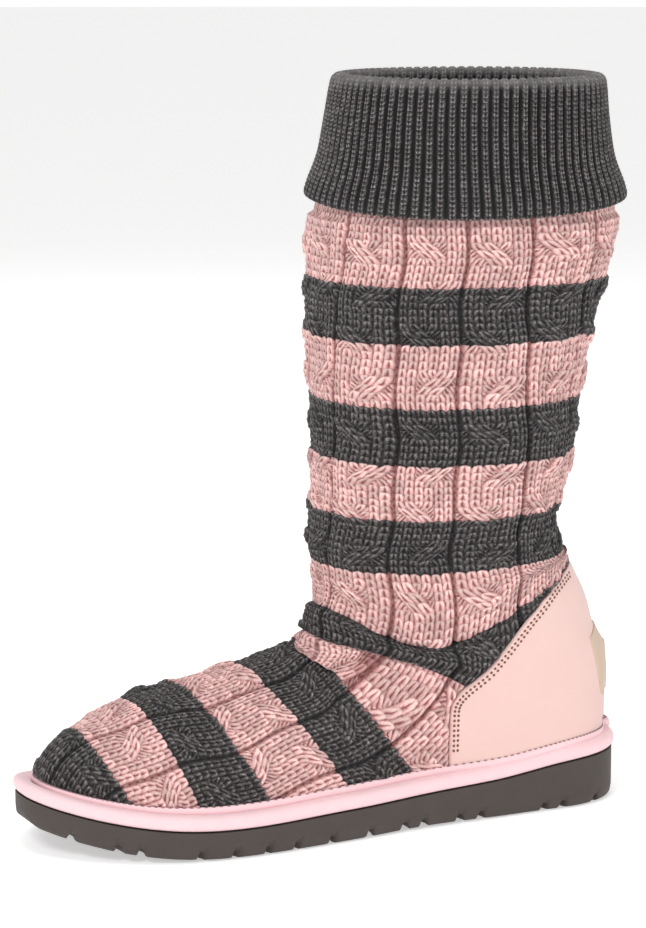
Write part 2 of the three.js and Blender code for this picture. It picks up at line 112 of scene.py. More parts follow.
# Line of the instep: share of the foot's length, share of the instep's height
RIDGE = table(
    "along rise",
    (0.0, 0.5),
    (0.3, 1.0),
    (0.45, 0.9),
    (0.52, 0.85),
    (0.6, 0.769),
    (0.7, 0.694),
    (0.8, 0.625),
    (0.9, 0.525),
    (1.0, 0.45),
)
TOE_DROP = (0.22, 2.4)

# Level sections of the leg: shares of the boot's height, the sole's length and the shaft's sizes
LEG = table(
    "height centre depth width",
    (0.0, 0.206, 0.731, 0.425),
    (0.063, 0.2105, 0.757, 0.441),
    (0.126, 0.219, 0.813, 0.488),
    (0.189, 0.234, 0.869, 0.543),
    (0.252, 0.264, 0.899, 0.63),
    (0.289, 0.279, 0.896, 0.693),
    (0.327, 0.293, 0.854, 0.732),
    (0.365, 0.307, 0.813, 0.764),
    (0.409, 0.31, 0.787, 0.78),
    (0.478, 0.298, 0.83, 0.819),
    (0.56, 0.292, 0.857, 0.858),
    (0.642, 0.287, 0.901, 0.906),
    (0.723, 0.275, 0.945, 0.953),
    (0.79, 0.263, 0.982, 0.985),
    (0.83, 0.258, 0.97, 0.975),
    (0.887, 0.258, 0.89, 0.92),
    (0.943, 0.257, 0.842, 0.885),
    (1.0, 0.253, 0.81, 0.85),
)
LEG_SQUARENESS = 2.15
FOOT_ACROSS = 2.3
FOOT_UP = 2.0

# Sections of the knitted tube, a row for each colour change: where each meets the shin or instep,
# and the heel or sole. Shares of the sole's length, the boot's height and the instep's height.
FAN = table(
    "stripe front_along front_height base_along base_height bow skew",
    (-2.5, 0.456, 1.0, 0.051, 1.0, 0, 1),
    (-1.0, 0.478, 0.89, 0.037, 0.89, 0, 1),
    (0.0, 0.504, 0.813, 0.018, 0.813, 0, 1),
    (1.0, 0.507, 0.734, 0.037, 0.734, 0, 1),
    (2.0, 0.507, 0.659, 0.059, 0.659, 0, 1),
    (3.0, 0.504, 0.574, 0.077, 0.574, 0, 1),
    (4.0, 0.502, 0.498, 0.092, 0.498, 0, 1),
    (5.0, 0.504, 0.425, 0.114, 0.425, 0, 1),
    (6.0, 0.507, 0.352, 0.1, 0.358, 0, 1.8),
    (7.0, 0.511, 0.296, 0.059, 0.352, -0.26, 1.8),
    (7.25, 0.515, 0.286, 0.033, 0.267, -0.14, 1.6),
    (7.5, 0.518, 0.278, 0.022, 0.189, -0.05, 1.3),
    (7.75, 0.522, 0.27, 0.026, 0.094, 0.08, 1),
    (8.0, 0.528, 0.259, 0.147, 0.055, 0.15, 1),
    (8.5, 0.54, 0.258, 0.276, 0.05, 0.1, 1),
    (9.0, 0.551, 0.252, 0.371, 0.047, 0, 1),
    (10.0, 0.651, 0.233, 0.494, 0.044, 0, 1),
    (11.0, 0.746, 0.208, 0.636, 0.041, 0, 1),
    (12.0, 0.824, 0.189, 0.757, 0.04, 0, 1),
    (13.0, 0.912, 0.157, 0.849, 0.044, 0, 1),
    (13.6, 0.956, 0.12, 0.919, 0.054, 0, 1),
    (14.0, 0.9743, 0.08, 0.9742, 0.06, 0, 1),
)
LAST_STRIPE = 13.96

# How round the bow of a section is, where its middle lies and how far that follows the sole's bend
BOW_ROUNDNESS = 1.2
SECTION_MIDDLE = 0.45
SECTION_SIDEWAYS = 0.7

# Step over which the slope of the form is taken, and how far the knit reaches under the foot
NORMAL_STEP = 0.0006
FLOOR_OVERLAP = 0.0005

# Purl grooves between the cable panels on the outer side, as shares of the way round from the shin
GROOVES = table(
    "stripe first second third fourth fifth",
    (0.0, 0.047, 0.12, 0.185, 0.256, 0.345),
    (1.0, 0.040, 0.121, 0.188, 0.262, 0.352),
    (3.0, 0.026, 0.123, 0.197, 0.288, 0.372),
    (5.0, 0.02, 0.125, 0.204, 0.306, 0.39),
    (7.0, 0.02, 0.118, 0.204, 0.30, 0.39),
    (8.3, 0.035, 0.108, 0.196, 0.28, 0.39),
    (9.2, 0.048, 0.106, 0.192, 0.28, 0.39),
    (10.0, 0.058, 0.118, 0.194, 0.28, 0.39),
    (11.0, 0.061, 0.129, 0.2, 0.28, 0.39),
    (12.0, 0.05, 0.123, 0.2, 0.28, 0.39),
    (13.0, 0.03, 0.105, 0.19, 0.28, 0.39),
    (14.0, 0.02, 0.095, 0.18, 0.28, 0.39),
)
PANELS = 13
PANEL_WIDTH = 0.0275
SEAM_PANEL = 7

# Soft folds and creases at the ankle: stripe, half width in stripes, height, and the stretch
# round from the shin that they cover, each with how softly it ends
FOLDS = table(
    "stripe spread height start stop fade",
    (8.02, 0.12, -0.0034, -0.06, 0.075, 0.02),
    (8.5, 0.42, 0.0085, -0.002, 0.028, 0.009),
    (8.42, 0.34, -0.0055, 0.028, 0.041, 0.006),
    (8.95, 0.14, -0.0026, -0.036, 0.036, 0.014),
    (9.5, 0.35, 0.0022, 0.01, 0.06, 0.015),
    (9.25, 0.1, -0.0016, 0.0, 0.05, 0.012),
    (6.5, 0.45, 0.0020, 0.105, 0.25, 0.02),
    (6.5, 0.45, 0.0020, -0.25, -0.105, 0.02),
    (5.5, 0.5, 0.0010, -0.05, 0.05, 0.03),
)

# The roll at the ankle and the fold under it: their stripes, and how far the slack goes into them
ROLL_STRIPE = 7.5
FOLD_STRIPE = 8.5
SLACK = ((ROLL_STRIPE, 0.7), (FOLD_STRIPE, 0.8))
SLACK_REACH = 0.105
ROLL_REACH = 0.09
ROLL_HEIGHT = 0.0030
PANEL_SWAY = 0.0009

# Hand-made irregularity of the knit, how flat it is on the foot, and how far it sinks when covered
UNEVEN_HEIGHT = 0.0005
UNEVEN_SIZE = 0.009
UNEVEN_STRIPE = 0.025
FOOT_RELIEF_LOSS = 0.3
COVERED_SINK = 0.0016

# The wedge at the ankle, which has extra rows, starts at this stripe
WEDGE_START = 7.0
WEDGE_DENSITY = 1.45

# Pieces of the knitted tube, by their first and last stripe
KNIT_LENGTHS = (
    ("shaft_knit_top", -0.5, 2.0),
    ("shaft_knit_middle", 2.0, 4.0),
    ("shaft_knit_ankle", 4.0, 7.0),
    ("foot_knit_ankle", 7.0, 9.0),
    ("foot_knit_instep", 9.0, 11.0),
    ("foot_knit_toe", 11.0, LAST_STRIPE),
)

# Where each tread groove starts at the sole's side, share of the sole's length
TREAD_GROOVES = (
    0.065, 0.13, 0.164, 0.279, 0.317, 0.381, 0.415, 0.478,
    0.549, 0.614, 0.665, 0.719, 0.772, 0.855, 0.889, 0.942,
)

# Front and upper edge of the counter seen from the side: share of its length, share of its slant
COUNTER_EDGE = table(
    "along slant",
    (1.0, -0.55),
    (1.0, -0.075),
    (0.956, 0.027),
    (0.83, 0.19),
    (0.65, 0.62),
    (0.52, 0.84),
    (0.42, 0.935),
    (0.2, 1.0),
)


def read(rows, key, column, at):
    """A smooth curve through one column of a table."""
    x, y = rows[key], rows[column]
    at = np.clip(np.asarray(at, float), x[0], x[-1])
    slope = np.empty_like(y)
    slope[1:-1] = (y[2:] - y[:-2]) / (x[2:] - x[:-2])
    slope[0] = (y[1] - y[0]) / (x[1] - x[0])
    slope[-1] = (y[-1] - y[-2]) / (x[-1] - x[-2])
    i = np.clip(np.searchsorted(x, at, side="right") - 1, 0, len(x) - 2)
    span = x[i + 1] - x[i]
    t = (at - x[i]) / span
    rising = 3 * t**2 - 2 * t**3
    start = (t**3 - 2 * t**2 + t) * span * slope[i]
    end = (t**3 - t**2) * span * slope[i + 1]
    return (1 - rising) * y[i] + rising * y[i + 1] + start + end


def soft_step(t):
    t = np.clip(t, 0, 1)
    return t * t * (3 - 2 * t)


def rounded_end(share, end):
    length, power = end
    t = np.clip(share / length, 0, 1)
    return (1 - t**power) ** (1 / power)


def outline_half(share, inset=0.0):
    """Half width of the sole's outline moved inwards, at a share of its length."""
    width = read(SOLE, "along", "width", share) * BALL_WIDTH / 2 - inset
    toe = rounded_end(share - (1 - TOE_ROUND[0]), TOE_ROUND)
    return width * toe * rounded_end(HEEL_ROUND[0] - share, HEEL_ROUND)


def sole_middle(x):
    return read(SOLE, "along", "bend", x / SOLE_LENGTH) * BALL_WIDTH


def sole_underside(x):
    share = np.clip(x / SOLE_LENGTH, 0, 1)
    arch = np.clip((share - ARCH_SPAN[0]) / (ARCH_SPAN[1] - ARCH_SPAN[0]), 0, 1)
    toe = np.clip((share - TOE_BREAK) / (1 - TOE_BREAK), 0, 1)
    return ARCH_LIFT * np.sin(np.pi * arch) ** 2 + TOE_SPRING * toe**TOE_SPRING_POWER


def sole_top(x):
    rise = read(SOLE, "along", "rise", x / SOLE_LENGTH)
    return sole_underside(x) + BALL_THICKNESS + rise * (HEEL_THICKNESS - BALL_THICKNESS)


def leg_field(x, y, z):
    share = np.clip(z / BOOT_HEIGHT, 0, 1)
    centre = read(LEG, "height", "centre", share) * SOLE_LENGTH
    depth = read(LEG, "height", "depth", share) * SHAFT_DEPTH / 2
    width = read(LEG, "height", "width", share) * SHAFT_WIDTH / 2
    along = np.abs((x - centre) / depth) ** LEG_SQUARENESS
    across = np.abs((y - sole_middle(x) / 2) / width) ** LEG_SQUARENESS
    return ((along + across) ** (1 / LEG_SQUARENESS) - 1) * np.minimum(depth, width)


def foot_field(x, y, z):
    share = np.clip((x - WELT_WIDTH) / (SOLE_LENGTH - 2 * WELT_WIDTH), 0, 1)
    half = np.maximum(outline_half(share, WELT_WIDTH), 0.0005)
    rise = read(RIDGE, "along", "rise", share) * INSTEP_HEIGHT
    height = np.maximum(rise * rounded_end(share - (1 - TOE_DROP[0]), TOE_DROP), 0.0005)
    up = np.maximum(z - sole_top(x), 0) / height
    across = np.abs(y - sole_middle(x)) / half
    arch = np.sqrt(across**FOOT_ACROSS + up**FOOT_UP) - 1
    past_ends = np.maximum(WELT_WIDTH - x, x - (SOLE_LENGTH - WELT_WIDTH))
    above = z - sole_top(x) - height - ANKLE_BLEND * soft_step((x - 0.015) / 0.03)
    return np.maximum.reduce([arch * np.minimum(half, height), past_ends, above])


def upper_field(x, y, z):
    """Signed distance, roughly, to leg and foot grown together at the ankle."""
    leg = leg_field(x, y, z)
    foot = foot_field(x, y, z)
    t = np.clip(0.5 + 0.5 * (foot - leg) / ANKLE_BLEND, 0, 1)
    return foot * (1 - t) + leg * t - ANKLE_BLEND * t * (1 - t)


def unit(vectors):
    return vectors / np.maximum(np.linalg.norm(vectors, axis=-1, keepdims=True), 1e-12)


def spots(x, y, z):
    """Points from coordinates whose shapes match."""
    return np.stack(np.broadcast_arrays(x, y, z), -1)


def coordinates(points):
    return np.moveaxis(points, -1, 0)


def field_normals(points):
    """Outward direction of the form at each point."""
    steps = []
    for shift in NORMAL_STEP * np.eye(3):
        ahead = upper_field(*coordinates(points + shift))
        steps.append(ahead - upper_field(*coordinates(points - shift)))
    return unit(np.stack(steps, -1))


def sheet_normals(points):
    """Directions square to a grid of points, by its rows and columns."""
    return unit(np.cross(np.gradient(points, axis=1), np.gradient(points, axis=0)))


def beyond(field, offset):
    """A test for places that lie further out than an offset from a form."""
    return lambda points: field(*coordinates(points)) > offset


def bisect(position, outside, shape, reach=0.2, steps=28):
    """The furthest place on each ray that is still inside."""
    near = np.zeros(shape)
    far = np.full(shape, reach)
    for _ in range(steps):
        middle = (near + far) / 2
        out = outside(position(middle))
        far = np.where(out, middle, far)
        near = np.where(out, near, middle)
    return position(near)


def cast(start, ahead, outside):
    """The furthest places inside along straight rays from start."""
    start, ahead = np.broadcast_arrays(start, ahead)
    return bisect(lambda distance: start + ahead * distance[..., None], outside, start.shape[:-1])


def fan_sections(stripes, angles, offset, footing):
    """Points of the tube's sections, a row for each stripe number and a column for each angle."""
    at = lambda column: read(FAN, "stripe", column, stripes)[:, None]
    front_x = at("front_along") * SOLE_LENGTH
    front_z = at("front_height") * BOOT_HEIGHT
    base_x = at("base_along") * SOLE_LENGTH
    base_z = at("base_height") * BOOT_HEIGHT
    length = np.hypot(front_x - base_x, front_z - base_z)
    ahead_x = (front_x - base_x) / length
    ahead_z = (front_z - base_z) / length
    middle_x = base_x + SECTION_MIDDLE * (front_x - base_x)
    middle_z = base_z + SECTION_MIDDLE * (front_z - base_z)
    middle_y = sole_middle(middle_x) * SECTION_SIDEWAYS
    bow = at("bow") * INSTEP_HEIGHT
    skew = at("skew")
    cosines = np.cos(angles)[None, :]
    sines = np.sin(angles)[None, :]

    def position(distance):
        x = middle_x + ahead_x * cosines * distance
        z = middle_z + ahead_z * cosines * distance
        y = middle_y + sines * distance
        share = np.clip(((x - base_x) * ahead_x + (z - base_z) * ahead_z) / length, 0, 1)
        bend = bow * np.sin(np.pi * share**skew) ** BOW_ROUNDNESS
        return np.stack([x - ahead_z * bend, y, z + ahead_x * bend], -1)

    def outside(points):
        x, y, z = coordinates(points)
        return np.maximum(upper_field(x, y, z) - offset, sole_top(x) + footing - z) > 0

    return bisect(position, outside, (len(stripes), len(angles)))


def leg_ring(angles, heights, offsets):
    """Points on the leg, seen from its middle at angles from the shin."""
    middle = read(LEG, "height", "centre", heights / BOOT_HEIGHT) * SOLE_LENGTH
    ahead = spots(np.cos(angles), np.sin(angles), 0.0)
    return cast(spots(middle, 0.0, heights), ahead, beyond(leg_field, offsets))


def side_points(x, z, side):
    """Points on one side of the upper at stations and heights."""
    return cast(spots(x, sole_middle(x), z), np.array([0.0, side, 0.0]), beyond(upper_field, 0.0))


def running_sum(steps):
    return np.concatenate([[0], np.cumsum(steps)])


def arc_lengths(curves):
    """Length along each row of points."""
    steps = np.linalg.norm(np.diff(curves, axis=1), axis=-1)
    return np.stack([running_sum(row) for row in steps])


def along_rows(curves, lengths, places):
    """Points at given lengths along each row of points."""
    found = np.empty((*places.shape, 3))
    for i, curve in enumerate(curves):
        for axis in range(3):
            found[i, :, axis] = np.interp(places[i], lengths[i], curve[:, axis])
    return found


def unevenness(u, v, size):
    """Smooth, always equal irregularity of hand-made surfaces, from about -1 to 1."""
    u, v = u / size, v / size
    waves = np.sin(1.7 * u + 0.9 * v + 0.4) + np.sin(-1.1 * u + 2.3 * v + 1.9)
    return (waves + np.sin(2.9 * u - 1.3 * v + 4.1) + np.sin(0.6 * u + 3.1 * v + 2.7)) / 3


# A knit stitch is a round arch with two legs. Shares of a stitch's width and of a row.
LEG_START = 0.09
LEG_SPREAD = 0.2
LEG_TURN = 0.75
LEG_HALF_WIDTH = 0.27
LEG_FALL = 0.45
LEG_LENGTH = 1.4

# How finely the knit is drawn
COLUMNS_PER_STITCH = 6
GROOVE_COLUMNS = 4
STITCHES_PER_PANEL = 6
ROWS_PER_COURSE = 5
COURSES_PER_STRIPE = 8
WALES_PER_PANEL = STITCHES_PER_PANEL + 2
COURSE_HEIGHT = 0.0031
GROOVE_SHARE = 0.024
RUNG_RELIEF = 0.0004

# The plait in each panel: two of its three strands cross every few rows, left and right by turns
CROSSING_ROWS = 6
CROSSING_START = 1.5
CROSSING_LENGTH = 3.6
STRAND = 2


def stitch_heights(across, course):
    """Height of a knit stitch whose tip points to the cuff, from 0 to 1."""
    side = np.abs(across - np.floor(across) - 0.5)
    within = course - np.floor(course)

    def leg(t):
        lean = LEG_START + LEG_SPREAD * np.sqrt(np.clip(t / LEG_TURN, 0, 1))
        offset = (side - lean) / LEG_HALF_WIDTH
        taper = np.clip(t * 5 + 0.35, 0, 1) * np.clip((LEG_LENGTH - t) * 4, 0, 1)
        return np.maximum(1 - offset**2, 0) * (1 - LEG_FALL * t) * taper

    return np.maximum(leg(within), leg(within + 1))


def relief(name, description, value):
    limits = {"min": 0.0, "max": 0.01, "unit": "LENGTH", "precision": 4}
    return FloatProperty(name=name, description=description, default=value, **limits)


class KnitSizes(bpy.types.PropertyGroup):
    """Relief of the knitted fabrics"""

    stitch_relief: relief("Stitch relief", "How far a stitch stands out of the fabric", 0.0013)
    strand_relief: relief("Strand relief", "How far a strand of the plait stands out", 0.0008)
    panel_relief: relief("Panel relief", "How far the middle of a cable panel bulges", 0.0008)
    crossing_relief: relief("Crossing relief", "How far a strand stands out where it crosses", 0.0018)
    groove_depth: relief("Groove depth", "Depth of the purl groove between two panels", 0.0008)
    knit_sink: relief("Knit sink", "How far the flat of the knit lies under its outermost points", 0.0021)
    rib_relief: relief("Rib relief", "Depth of the ribs of the cuff", 0.0019)
    ribs: IntProperty(
        name="Ribs",
        description="Number of ribs round the cuff",
        default=84,
        min=20,
        max=160,
    )


def colour(name, description, value):
    limits = {"subtype": "COLOR", "size": 3, "min": 0.0, "max": 1.0}
    return FloatVectorProperty(name=name, description=description, default=value, **limits)


class BootColours(bpy.types.PropertyGroup):
    """Colours of yarn, suede, leather and foam"""

    # Yarn colours: each yarn is painted from its shade colour to its lit colour by the height of its
    # stitches
    pink_yarn: colour("Pink yarn", "Lit side of the pink yarn", (0.92, 0.575, 0.545))
    # Pale fibres, and also the painted highlight on the tips of the pink stitches
    pink_fleck_and_highlight: colour("Pink fleck", "Pale fibres in the pink yarn", (1.0, 0.84, 0.81))
    pink_shade: colour("Pink shade", "Pink yarn deep between two stitches", (0.3, 0.075, 0.075))
    grey_yarn: colour("Grey yarn", "Lit side of the charcoal yarn", (0.044, 0.037, 0.036))
    grey_shade: colour("Grey shade", "Charcoal yarn deep between two stitches", (0.006, 0.005, 0.005))
    # Pale fibres, and also the painted highlights on the stitch tips and the cuff's rim
    grey_fleck_and_highlight: colour("Grey fleck", "Pale fibres in the charcoal yarn", (0.34, 0.32, 0.32))
    counter_suede: colour("Counter suede", "Suede of the heel counter", (0.80, 0.56, 0.515))
    band_suede: colour("Band suede", "Suede of the band round the sole", (0.92, 0.64, 0.67))
    patch_leather: colour("Patch leather", "Leather of the heel patch", (0.60, 0.455, 0.345))
    sole_foam: colour("Sole foam", "Foam of the sole", (0.068, 0.055, 0.049))
    thread: colour("Thread", "Sewing thread and its holes", (0.2, 0.085, 0.05))
    felt: colour("Felt", "Inner sole", (0.5, 0.43, 0.37))
    floor: colour("Floor", "Studio floor", (0.9, 0.9, 0.9))


# Finishes: sizes of mottling and grain, contrast, relief, roughness and sheen
FINISHES = {
    "foam": (0.012, 0.0006, 0.35, 0.00025, 0.62, 0.0),
    "felt": (0.004, 0.0005, 0.3, 0.0003, 0.95, 0.4),
    "band suede": (0.006, 0.0004, 0.16, 0.00016, 0.88, 0.35),
    "counter suede": (0.02, 0.0005, 0.1, 0.00012, 0.9, 0.4),
    "patch leather": (0.005, 0.0007, 0.14, 0.0001, 0.5, 0.05),
    "thread": (0.002, 0.0004, 0.3, 0.0001, 0.7, 0.1),
    "band thread": (0.002, 0.0004, 0.3, 0.0001, 0.7, 0.1),
}

# Yarn: how close its fibres and their clumps lie, how finely the lines of stitches wander
FIBRES = 1500.0
CLUMPS = 480.0
WANDER = 300.0


# Building blocks for node trees


class Tree:
    """A node tree with short ways to add and join nodes."""

    def __init__(self, tree):
        self.tree = tree
        self.nodes = tree.nodes
        self.links = tree.links

    def node(self, kind, values=None, **settings):
        made = self.nodes.new(kind)
        for key, value in settings.items():
            setattr(made, key, value)
        for key, value in (values or {}).items():
            self.feed(value, made.inputs[key])
        return made

    def feed(self, value, socket):
        if isinstance(value, bpy.types.NodeSocket):
            self.links.new(value, socket)
        else:
            socket.default_value = value

    def math(self, operation, *inputs, clamp=False):
        made = self.node("ShaderNodeMath", operation=operation, use_clamp=clamp)
        for value, socket in zip(inputs, made.inputs):
            self.feed(value, socket)
        return made.outputs[0]

    def plus(self, *terms, clamp=False):
        return self.math("ADD", *terms, clamp=clamp)

    def minus(self, *terms, clamp=False):
        return self.math("SUBTRACT", *terms, clamp=clamp)

    def times(self, *terms, clamp=False):
        return self.math("MULTIPLY", *terms, clamp=clamp)

    def times_plus(self, value, factor, offset, clamp=False):
        return self.math("MULTIPLY_ADD", value, factor, offset, clamp=clamp)

    def mix(self, factor, first, second):
        values = {0: factor, 6: first, 7: second}
        return self.node("ShaderNodeMix", values, data_type="RGBA").outputs[2]

    def noise(self, vector, scale, detail=2.0, roughness=0.5):
        values = {"Vector": vector, "Scale": scale, "Detail": detail, "Roughness": roughness}
        return self.node("ShaderNodeTexNoise", values).outputs["Fac"]

    def spread(self, value, low, high):
        """0 below low, 1 above high, smooth between."""
        values = {"Value": value, "From Min": low, "From Max": high}
        made = self.node("ShaderNodeMapRange", values, interpolation_type="SMOOTHSTEP")
        return made.outputs["Result"]

    def split(self, vector):
        return self.node("ShaderNodeSeparateXYZ", {"Vector": vector}).outputs

    def uv(self, name):
        return self.node("ShaderNodeUVMap", uv_map=name).outputs["UV"]

    def place(self, kind="Object"):
        return self.node("ShaderNodeTexCoord").outputs[kind]

    def tinted(self, colour, value):
        values = {"Color": colour, "Value": value}
        return self.node("ShaderNodeHueSaturation", values).outputs["Color"]

    def bump(self, height, distance, strength):
        values = {"Height": height, "Distance": distance, "Strength": strength}
        return self.node("ShaderNodeBump", values).outputs["Normal"]


def new_group(name, inputs, outputs):
    """A node group whose sockets are plain numbers, apart from colours and normals."""
    kinds = {"Colour": "NodeSocketColor", "Normal": "NodeSocketVector"}
    tree = bpy.data.node_groups.new(name, "ShaderNodeTree")
    for side, labels in (("INPUT", inputs), ("OUTPUT", outputs)):
        for label in labels:
            kind = kinds.get(label, "NodeSocketFloat")
            tree.interface.new_socket(label, in_out=side, socket_type=kind)
    made = Tree(tree)
    return made, made.node("NodeGroupInput"), made.node("NodeGroupOutput")


def stitch_group():
    """Height of a knit stitch and the row it belongs to, from wale and course numbers."""
    if "knit stitch" in bpy.data.node_groups:
        return bpy.data.node_groups["knit stitch"]
    t, entry, leave = new_group("knit stitch", ("Wale", "Course"), ("Height", "Row", "Ply"))
    wale, course = entry.outputs["Wale"], entry.outputs["Course"]
    side = t.math("ABSOLUTE", t.minus(t.math("FRACT", wale), 0.5))
    row = t.math("FLOOR", course)
    within = t.math("FRACT", course)

    def leg(place):
        turned = t.math("SQRT", t.math("DIVIDE", place, LEG_TURN, clamp=True))
        lean = t.times_plus(turned, LEG_SPREAD, LEG_START)
        offset = t.math("DIVIDE", t.minus(side, lean), LEG_HALF_WIDTH)
        round_over = t.minus(1.0, t.times(offset, offset), clamp=True)
        start = t.times_plus(place, 5.0, 0.35, clamp=True)
        end = t.times(t.minus(LEG_LENGTH, place), 4.0, clamp=True)
        falling = t.times_plus(place, -LEG_FALL, 1.0)
        taper = t.times(t.times(start, end), falling)
        return t.times(round_over, taper)

    upper = leg(within)
    lower = leg(t.plus(within, 1.0))
    from_above = t.math("GREATER_THAN", lower, upper)
    # Plies of the yarn run slantwise over each leg
    turns = t.times(t.plus(t.times(side, 2.2), course), 3.0)
    ply = t.math("ABSOLUTE", t.math("SINE", t.times(turns, math.pi)))
    t.feed(t.math("MAXIMUM", upper, lower), leave.inputs["Height"])
    t.feed(t.minus(row, from_above), leave.inputs["Row"])
    t.feed(ply, leave.inputs["Ply"])
    return t.tree


def nap_group():
    """Mottled colour and fine nap of suede, or the cells of foam at another scale."""
    if "nap" in bpy.data.node_groups:
        return bpy.data.node_groups["nap"]
    inputs = ("Colour", "Mottle size", "Grain size", "Contrast", "Relief")
    t, entry, leave = new_group("nap", inputs, ("Colour", "Normal", "Grain"))
    given = entry.outputs
    place = t.place()
    mottle = t.noise(place, t.math("DIVIDE", 1.0, given["Mottle size"]), 4.0, 0.6)
    grain = t.noise(place, t.math("DIVIDE", 1.0, given["Grain size"]), 5.0, 0.7)
    both = t.plus(t.times(mottle, 0.7), t.times(grain, 0.3))
    lift = t.times(t.minus(both, 0.5), given["Contrast"])
    t.feed(t.tinted(given["Colour"], t.plus(lift, 1.0)), leave.inputs["Colour"])
    t.feed(t.bump(grain, given["Relief"], 1.0), leave.inputs["Normal"])
    t.feed(grain, leave.inputs["Grain"])
    return t.tree


def new_material(name, values):
    """An empty material with its shader, whose sockets take the values given by name."""
    made = bpy.data.materials.new(name)
    made.use_nodes = True
    made.node_tree.nodes.clear()
    t = Tree(made.node_tree)
    shader = t.node("ShaderNodeBsdfPrincipled", values)
    t.node("ShaderNodeOutputMaterial", {"Surface": shader.outputs["BSDF"]})
    return made, t, shader


def soft_material(name, sheen, sheen_roughness):
    """A matte material whose fibres catch some light."""
    values = {"Sheen Weight": sheen, "Sheen Roughness": sheen_roughness, "Specular IOR Level": 0.3}
    return new_material(name, values)


def rgba(value):
    return (*value, 1.0)


def yarn_material(name, striped):
    """Wool yarn in stripes of plain knit, or in one colour and ribs, with painted light and shade."""
    if name in bpy.data.materials:
        return bpy.data.materials[name]
    tones = bpy.context.scene.boot_colours
    made, t, shader = soft_material(name, 0.08, 0.5)
    wale, course = t.split(t.uv("knit"))[:2]
    # The depth attribute paints shade above zero, and a highlight on the cuff's rim below zero
    depth = t.node("ShaderNodeAttribute", attribute_name="depth").outputs["Fac"]
    rim = t.times(depth, -1.0, clamp=True)
    place = t.place()
    wander = t.times_plus(t.noise(place, WANDER), 0.3, -0.15)
    counted = t.plus(wale, wander)
    if striped:
        from_groove = t.math("PINGPONG", wale, WALES_PER_PANEL / 2)
        groove = t.spread(from_groove, 1.0, 0.6)
    else:
        centre = t.minus(t.math("FRACT", wale), 0.5)
        groove = t.spread(t.math("ABSOLUTE", centre), RIB_EDGE - 0.06, RIB_EDGE + 0.06)
        groove = t.times(groove, t.times_plus(rim, -0.6, 1.0))
        widened = t.times(centre, 0.5 / RIB_EDGE)
        counted = t.plus(widened, t.times_plus(wander, 0.5, 0.5))
    group = t.node("ShaderNodeGroup", node_tree=stitch_group())
    t.feed(counted, group.inputs["Wale"])
    t.feed(t.plus(course, wander), group.inputs["Course"])
    height, row, ply = (group.outputs[key] for key in ("Height", "Row", "Ply"))
    # In grooves and between ribs the low yarn value paints shade and sinks the bump
    purl = t.math("ABSOLUTE", t.math("SINE", t.times(course, math.pi)))
    rung = t.times(purl, 0.5 if striped else 0.05)
    yarn = t.node("ShaderNodeMix", {0: groove, 2: height, 3: rung}).outputs[0]
    fibres = t.noise(place, FIBRES, 3.0, 0.7)
    clumps = t.noise(place, CLUMPS, 2.0, 0.6)
    # Each stitch is a little lighter or darker than the next
    cell = t.node("ShaderNodeCombineXYZ", {"X": t.math("FLOOR", wale), "Y": row, "Z": 0.5})
    chance = t.node("ShaderNodeTexWhiteNoise", {"Vector": cell.outputs[0]}).outputs["Value"]
    rough = t.times(t.minus(fibres, 0.5), 0.9)
    # Painted light and shade: stitch tops lit, the yarn darker in grooves and where the depth is high
    lit = t.spread(t.plus(yarn, rough), -0.05, 0.85)
    lit = t.times(lit, t.times_plus(t.math("MAXIMUM", depth, 0.0), -0.55, 1.0))
    mingled = t.plus(t.times(fibres, 0.55), t.times(clumps, 0.45))
    # Pale fibres, shown only where the painted light falls, and a painted highlight on the stitch tips
    fleck = t.times(t.spread(mingled, 0.46, 0.62), lit)
    tip = t.times(t.spread(t.plus(yarn, t.times(rough, 0.6)), 0.6, 1.05), lit)

    def flecks_and_highlight(base, fleck_and_highlight_colour, fleck_share, tip_highlight_share):
        """Pale fibres all over the yarn, and a painted highlight on the tips of its stitches."""
        flecks = t.times(fleck, fleck_share)
        pale = t.plus(flecks, t.times(tip, tip_highlight_share), clamp=True)
        return t.mix(pale, base, rgba(fleck_and_highlight_colour))

    # The charcoal yarn painted from its shade colour to its lit colour
    grey = t.mix(t.math("POWER", lit, 1.5), rgba(tones.grey_shade), rgba(tones.grey_yarn))
    shown = flecks_and_highlight(grey, tones.grey_fleck_and_highlight, 0.35, 0.6 if striped else 0.75)
    # Painted highlight along the cuff's rolled rim
    shown = t.mix(t.times(rim, 0.4), shown, rgba(tones.grey_fleck_and_highlight))
    if striped:
        stripe_at, rate = t.split(t.uv("stripes"))[:2]
        behind = t.math("DIVIDE", t.minus(t.plus(row, 0.5), course), rate)
        stripe = t.math("FLOOR", t.math("MAXIMUM", t.plus(stripe_at, behind), 0.0))
        is_grey = t.math("GREATER_THAN", t.math("PINGPONG", stripe, 1.0), 0.5)
        # The pink yarn painted from its shade colour to its lit colour
        pink = t.mix(lit, rgba(tones.pink_shade), rgba(tones.pink_yarn))
        shown = t.mix(is_grey, flecks_and_highlight(pink, tones.pink_fleck_and_highlight, 0.3, 0.45), shown)
    level = t.times_plus(chance, 0.4, 0.8)
    t.feed(t.tinted(shown, level), shader.inputs["Base Color"])
    raised = t.plus(yarn, t.times(ply, 0.14))
    raised = t.plus(raised, t.times(fibres, 0.45))
    t.feed(t.bump(raised, 0.0011 if striped else 0.0008, 0.9), shader.inputs["Normal"])
    t.feed(t.times_plus(fibres, 0.2, 0.7), shader.inputs["Roughness"])
    return made


